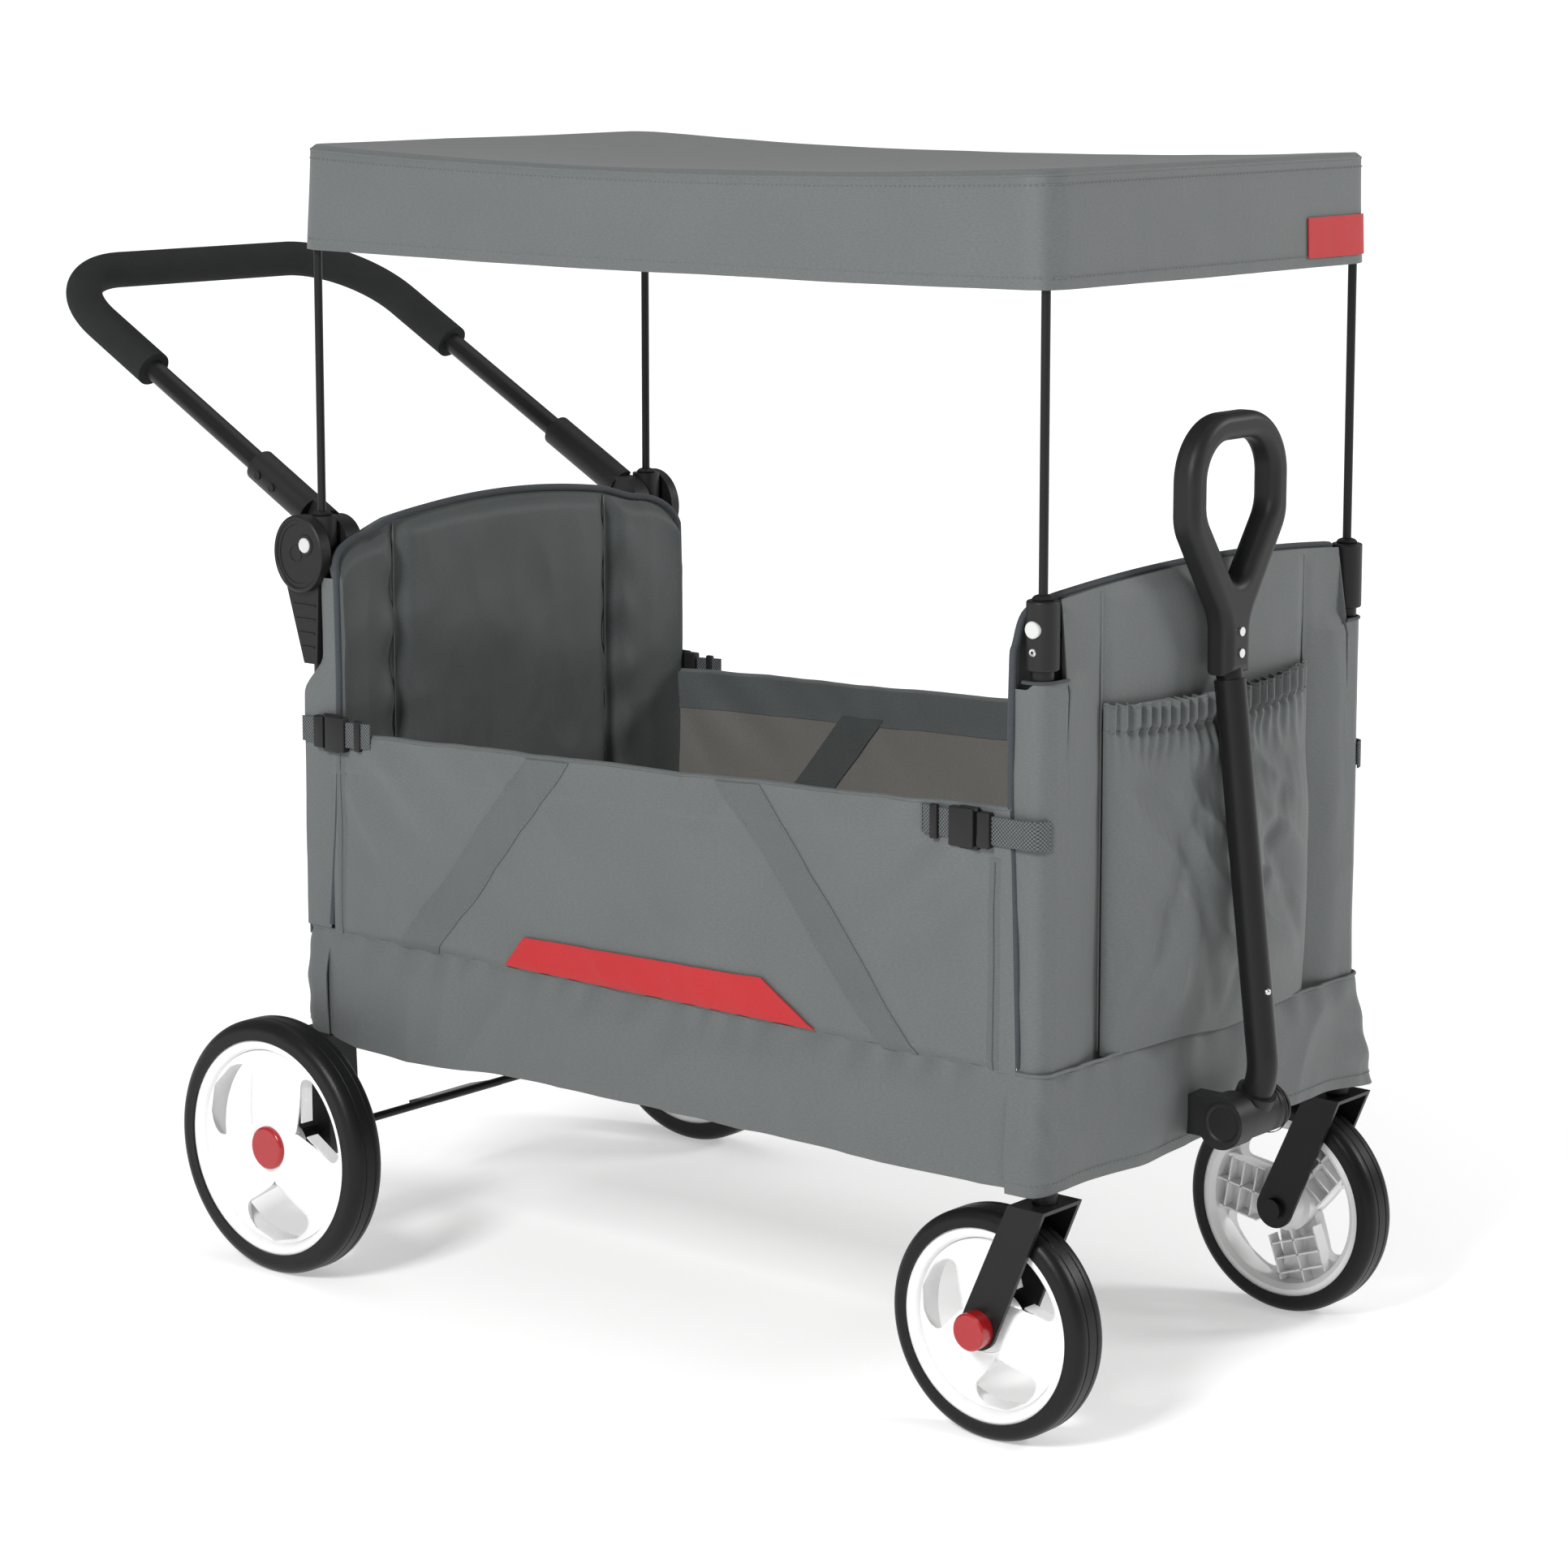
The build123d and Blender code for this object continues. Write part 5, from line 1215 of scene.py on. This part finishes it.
def spoked_rim(name, at, side, radius, hub_out, spoke_half, first, body):
    """Rim with a rounded barrel and a dished star of three spokes."""
    barrel = turned(f"{name}_barrel", at, side, (
        (radius, -0.0172), (radius, 0.0168), (radius - 0.0022, 0.0178), (radius - 0.0062, 0.0172),
        (radius - 0.0088, 0.0150), (radius - 0.0105, 0.0100), (radius - 0.0118, 0.0020),
        (radius - 0.0112, -0.0140), (radius - 0.0085, -0.0160), (radius - 0.0060, -0.0176),
        (radius, -0.0172)), 96)
    reach, root = radius - 0.0108, 0.024
    flare_out, flare_in = radius * 0.22, radius * 0.16
    stars = []
    for number in range(3):
        def spoke_at(u, v, number=number):
            r = root + (reach - root) * v
            full = r * pi / 3
            outer = max(0.0, min(1.0, (r - (reach - flare_out)) / flare_out))
            inner = max(0.0, min(1.0, (root + flare_in - r) / flare_in))
            open_share = max(1 - sqrt(1 - outer * outer), 1 - sqrt(1 - inner * inner))
            half = spoke_half * (1 + 0.10 * (1 - v)) + (full - spoke_half) * open_share
            lateral = 2 * u - 1
            angle = first + number * 2 * pi / 3 + lateral * min(half, full) / r
            dish = 0.0105 + (hub_out - 0.0105) * (1 - ramp(v, 0.0, 0.8))
            out = dish - 0.0052 * abs(lateral) ** 4 * (1 - open_share)
            return (at[0] + r * cos(angle), at[1] + side * out, at[2] + r * sin(angle))

        stars.append(cloth(f"{name}_spoke_{number}", 20, 26, spoke_at, 0.0))
    star = joined(stars, f"{name}_star")
    bpy.ops.object.mode_set(mode="EDIT")
    bpy.ops.mesh.select_all(action="SELECT")
    bpy.ops.mesh.remove_doubles(threshold=0.0002)
    bpy.ops.object.mode_set(mode="OBJECT")
    up = sum(face.normal.y for face in star.data.polygons) * side
    apply(star, "SOLIDIFY", thickness=0.0085, offset=-1.0 if up > 0 else 1.0)
    hub = turned(f"{name}_hub", at, side, (
        (0.0062, hub_out - 0.001), (0.0215, hub_out + 0.0004), (0.0245, hub_out - 0.0006),
        (0.0262, hub_out - 0.0045), (0.0262, -0.006), (0.020, -0.0065), (0.0165, -0.018),
        (0.0062, -0.018), (0.0062, hub_out - 0.001)), 60)
    ribs = []
    for number in range(3):
        heading = first + number * 2 * pi / 3
        for cross in (-0.92, 0.0, 0.92):
            ribs.append((heading, 0.5 * (reach + root) - 0.003 * abs(cross), cross * spoke_half,
                         (reach - root) * (0.98 - 0.16 * abs(cross)), 0.0016))
        for step in range(3):
            ribs.append((heading, root + (reach - root) * (0.2 + 0.28 * step), 0.0, 0.0016,
                         spoke_half * 1.84))
    plates = []
    for heading, r, across, long, wide in ribs:
        bpy.ops.object.select_all(action="DESELECT")
        bpy.ops.mesh.primitive_cube_add(size=1)
        plate = bpy.context.object
        plate.scale = (long, 0.014, wide)
        plate.rotation_euler = (0, -heading, 0)
        plate.location = (at[0] + r * cos(heading) - across * sin(heading),
                          at[1] - side * 0.0045, at[2] + r * sin(heading) + across * cos(heading))
        plates.append(plate)
    plate = joined(plates, f"{name}_ribs")
    bpy.ops.object.transform_apply(location=True, rotation=True, scale=True)
    rim = smooth(joined((barrel, star, hub, plate), name), 40)
    return fit(rim, white_gloss, body)


for end, firsts, spoke_half, hub_out in (("rear", (pi / 2, pi / 2), 0.035, 0.0148),
                                         ("front", (radians(50), radians(105)), 0.028, 0.0155)):
    for (side, name), first in zip(sides, firsts):
        low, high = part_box(f"{end}_tyre_{name}")
        at = tuple((a + b) / 2 for a, b in zip(low, high))
        rim_low, rim_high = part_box(f"{end}_rim_{name}")
        radius = (rim_high[2] - rim_low[2]) / 2
        rim = spoked_rim(f"{end}_spoked_rim_{name}", at, side, radius, hub_out, spoke_half,
                         first, f"{end}_wheel_{name}")
        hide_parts(f"{end}_rim_{name}")
        tyre_r = (high[2] - low[2]) / 2
        for number in range(6):
            points = []
            for step in range(25):
                t = step / 24
                angle = number * pi / 3 + t * 0.62
                r = tyre_r - 0.0042 - 0.0075 * sin(pi * t) ** 1.5
                depth = 0.0195 - 0.0035 * ((r - (tyre_r - 0.0117)) / 0.0075) ** 2
                points.append((at[0] + r * cos(angle), at[1] + side * (depth - 0.0006),
                               at[2] + r * sin(angle)))
            piping(f"{end}_tyre_mark_{number}_{name}", points, 0.0008, tyre_rubber,
                   f"{end}_wheel_{name}")
        if end == "front":
            boss = turned(f"front_hub_boss_{name}", at, side, (
                (0.0056, 0.0155), (0.0130, 0.0155), (0.0120, 0.0225), (0.0056, 0.0229),
                (0.0056, 0.0155)), 40)
            fit(boss, white_gloss, f"front_wheel_{name}")

# Push handle: a bent tube in two plastic connectors, with a closed-cell foam sleeve round
# the grip bar and both bends.
foam = Finish("closed_cell_foam", Specular_IOR_Level=0.2)
foam_where = foam.node("TexCoord", out=3)
cells = foam.grain(foam_where, 1500, 4.0, 0.7)
foam_cloud = foam.grain(foam_where, 30)
foam.set("Base Color", foam.between((0.010, 0.0105, 0.0105), (0.026, 0.027, 0.027),
                                    cells * 0.6 + foam_cloud * 0.4))
foam.set("Roughness", cells * 0.1 + 0.88)
foam.bump(cells, 0.8, 0.0006)
coat(foam.material, "foam_grip")

# Pull handle: a bent tube with a loop at its top, on a barrel that turns beside a fixed
# block. A spring ball shows on the tube, and a fine seam runs round the barrel.
barrel_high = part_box("pull_barrel")[1]
tube_low, tube_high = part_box("pull_tube")
pull_x = barrel_high[0] - 0.022
pull_z = 0.256
seam = turned("barrel_seam", (pull_x, 0.024, pull_z), 1, (
    (0.0216, -0.0010), (0.0223, -0.0006), (0.0223, 0.0006), (0.0216, 0.0010),
    (0.0216, -0.0010)), 60)
fit(seam, black_nylon, "pull_stem")
for at_y, way in ((0.0333, 1), (-0.0453, -1)):
    body = "pull_stem" if way > 0 else "front_frame"
    cap = turned(f"pivot_cap_{'left' if way > 0 else 'right'}", (pull_x, at_y, pull_z), way, (
        (0.0001, -0.001), (0.0135, -0.001), (0.0150, -0.0002), (0.0165, 0.0010),
        (0.0185, 0.0010), (0.0198, -0.0006), (0.0198, -0.003), (0.0001, -0.003)), 60)
    fit(cap, black_nylon, body)
lean, ball_z = radians(7), 0.369
ball_x = tube_low[0] + 0.0278 + (tube_high[2] - ball_z) * sin(lean) / cos(lean)
bpy.ops.object.select_all(action="DESELECT")
bpy.ops.mesh.primitive_uv_sphere_add(segments=20, ring_count=10, radius=0.0032,
                                     location=(ball_x - 0.0004, -0.004, ball_z))
ball = smooth(bpy.context.object)
ball.name = "spring_ball_0"
fit(ball, bright_zinc, "pull_stem")
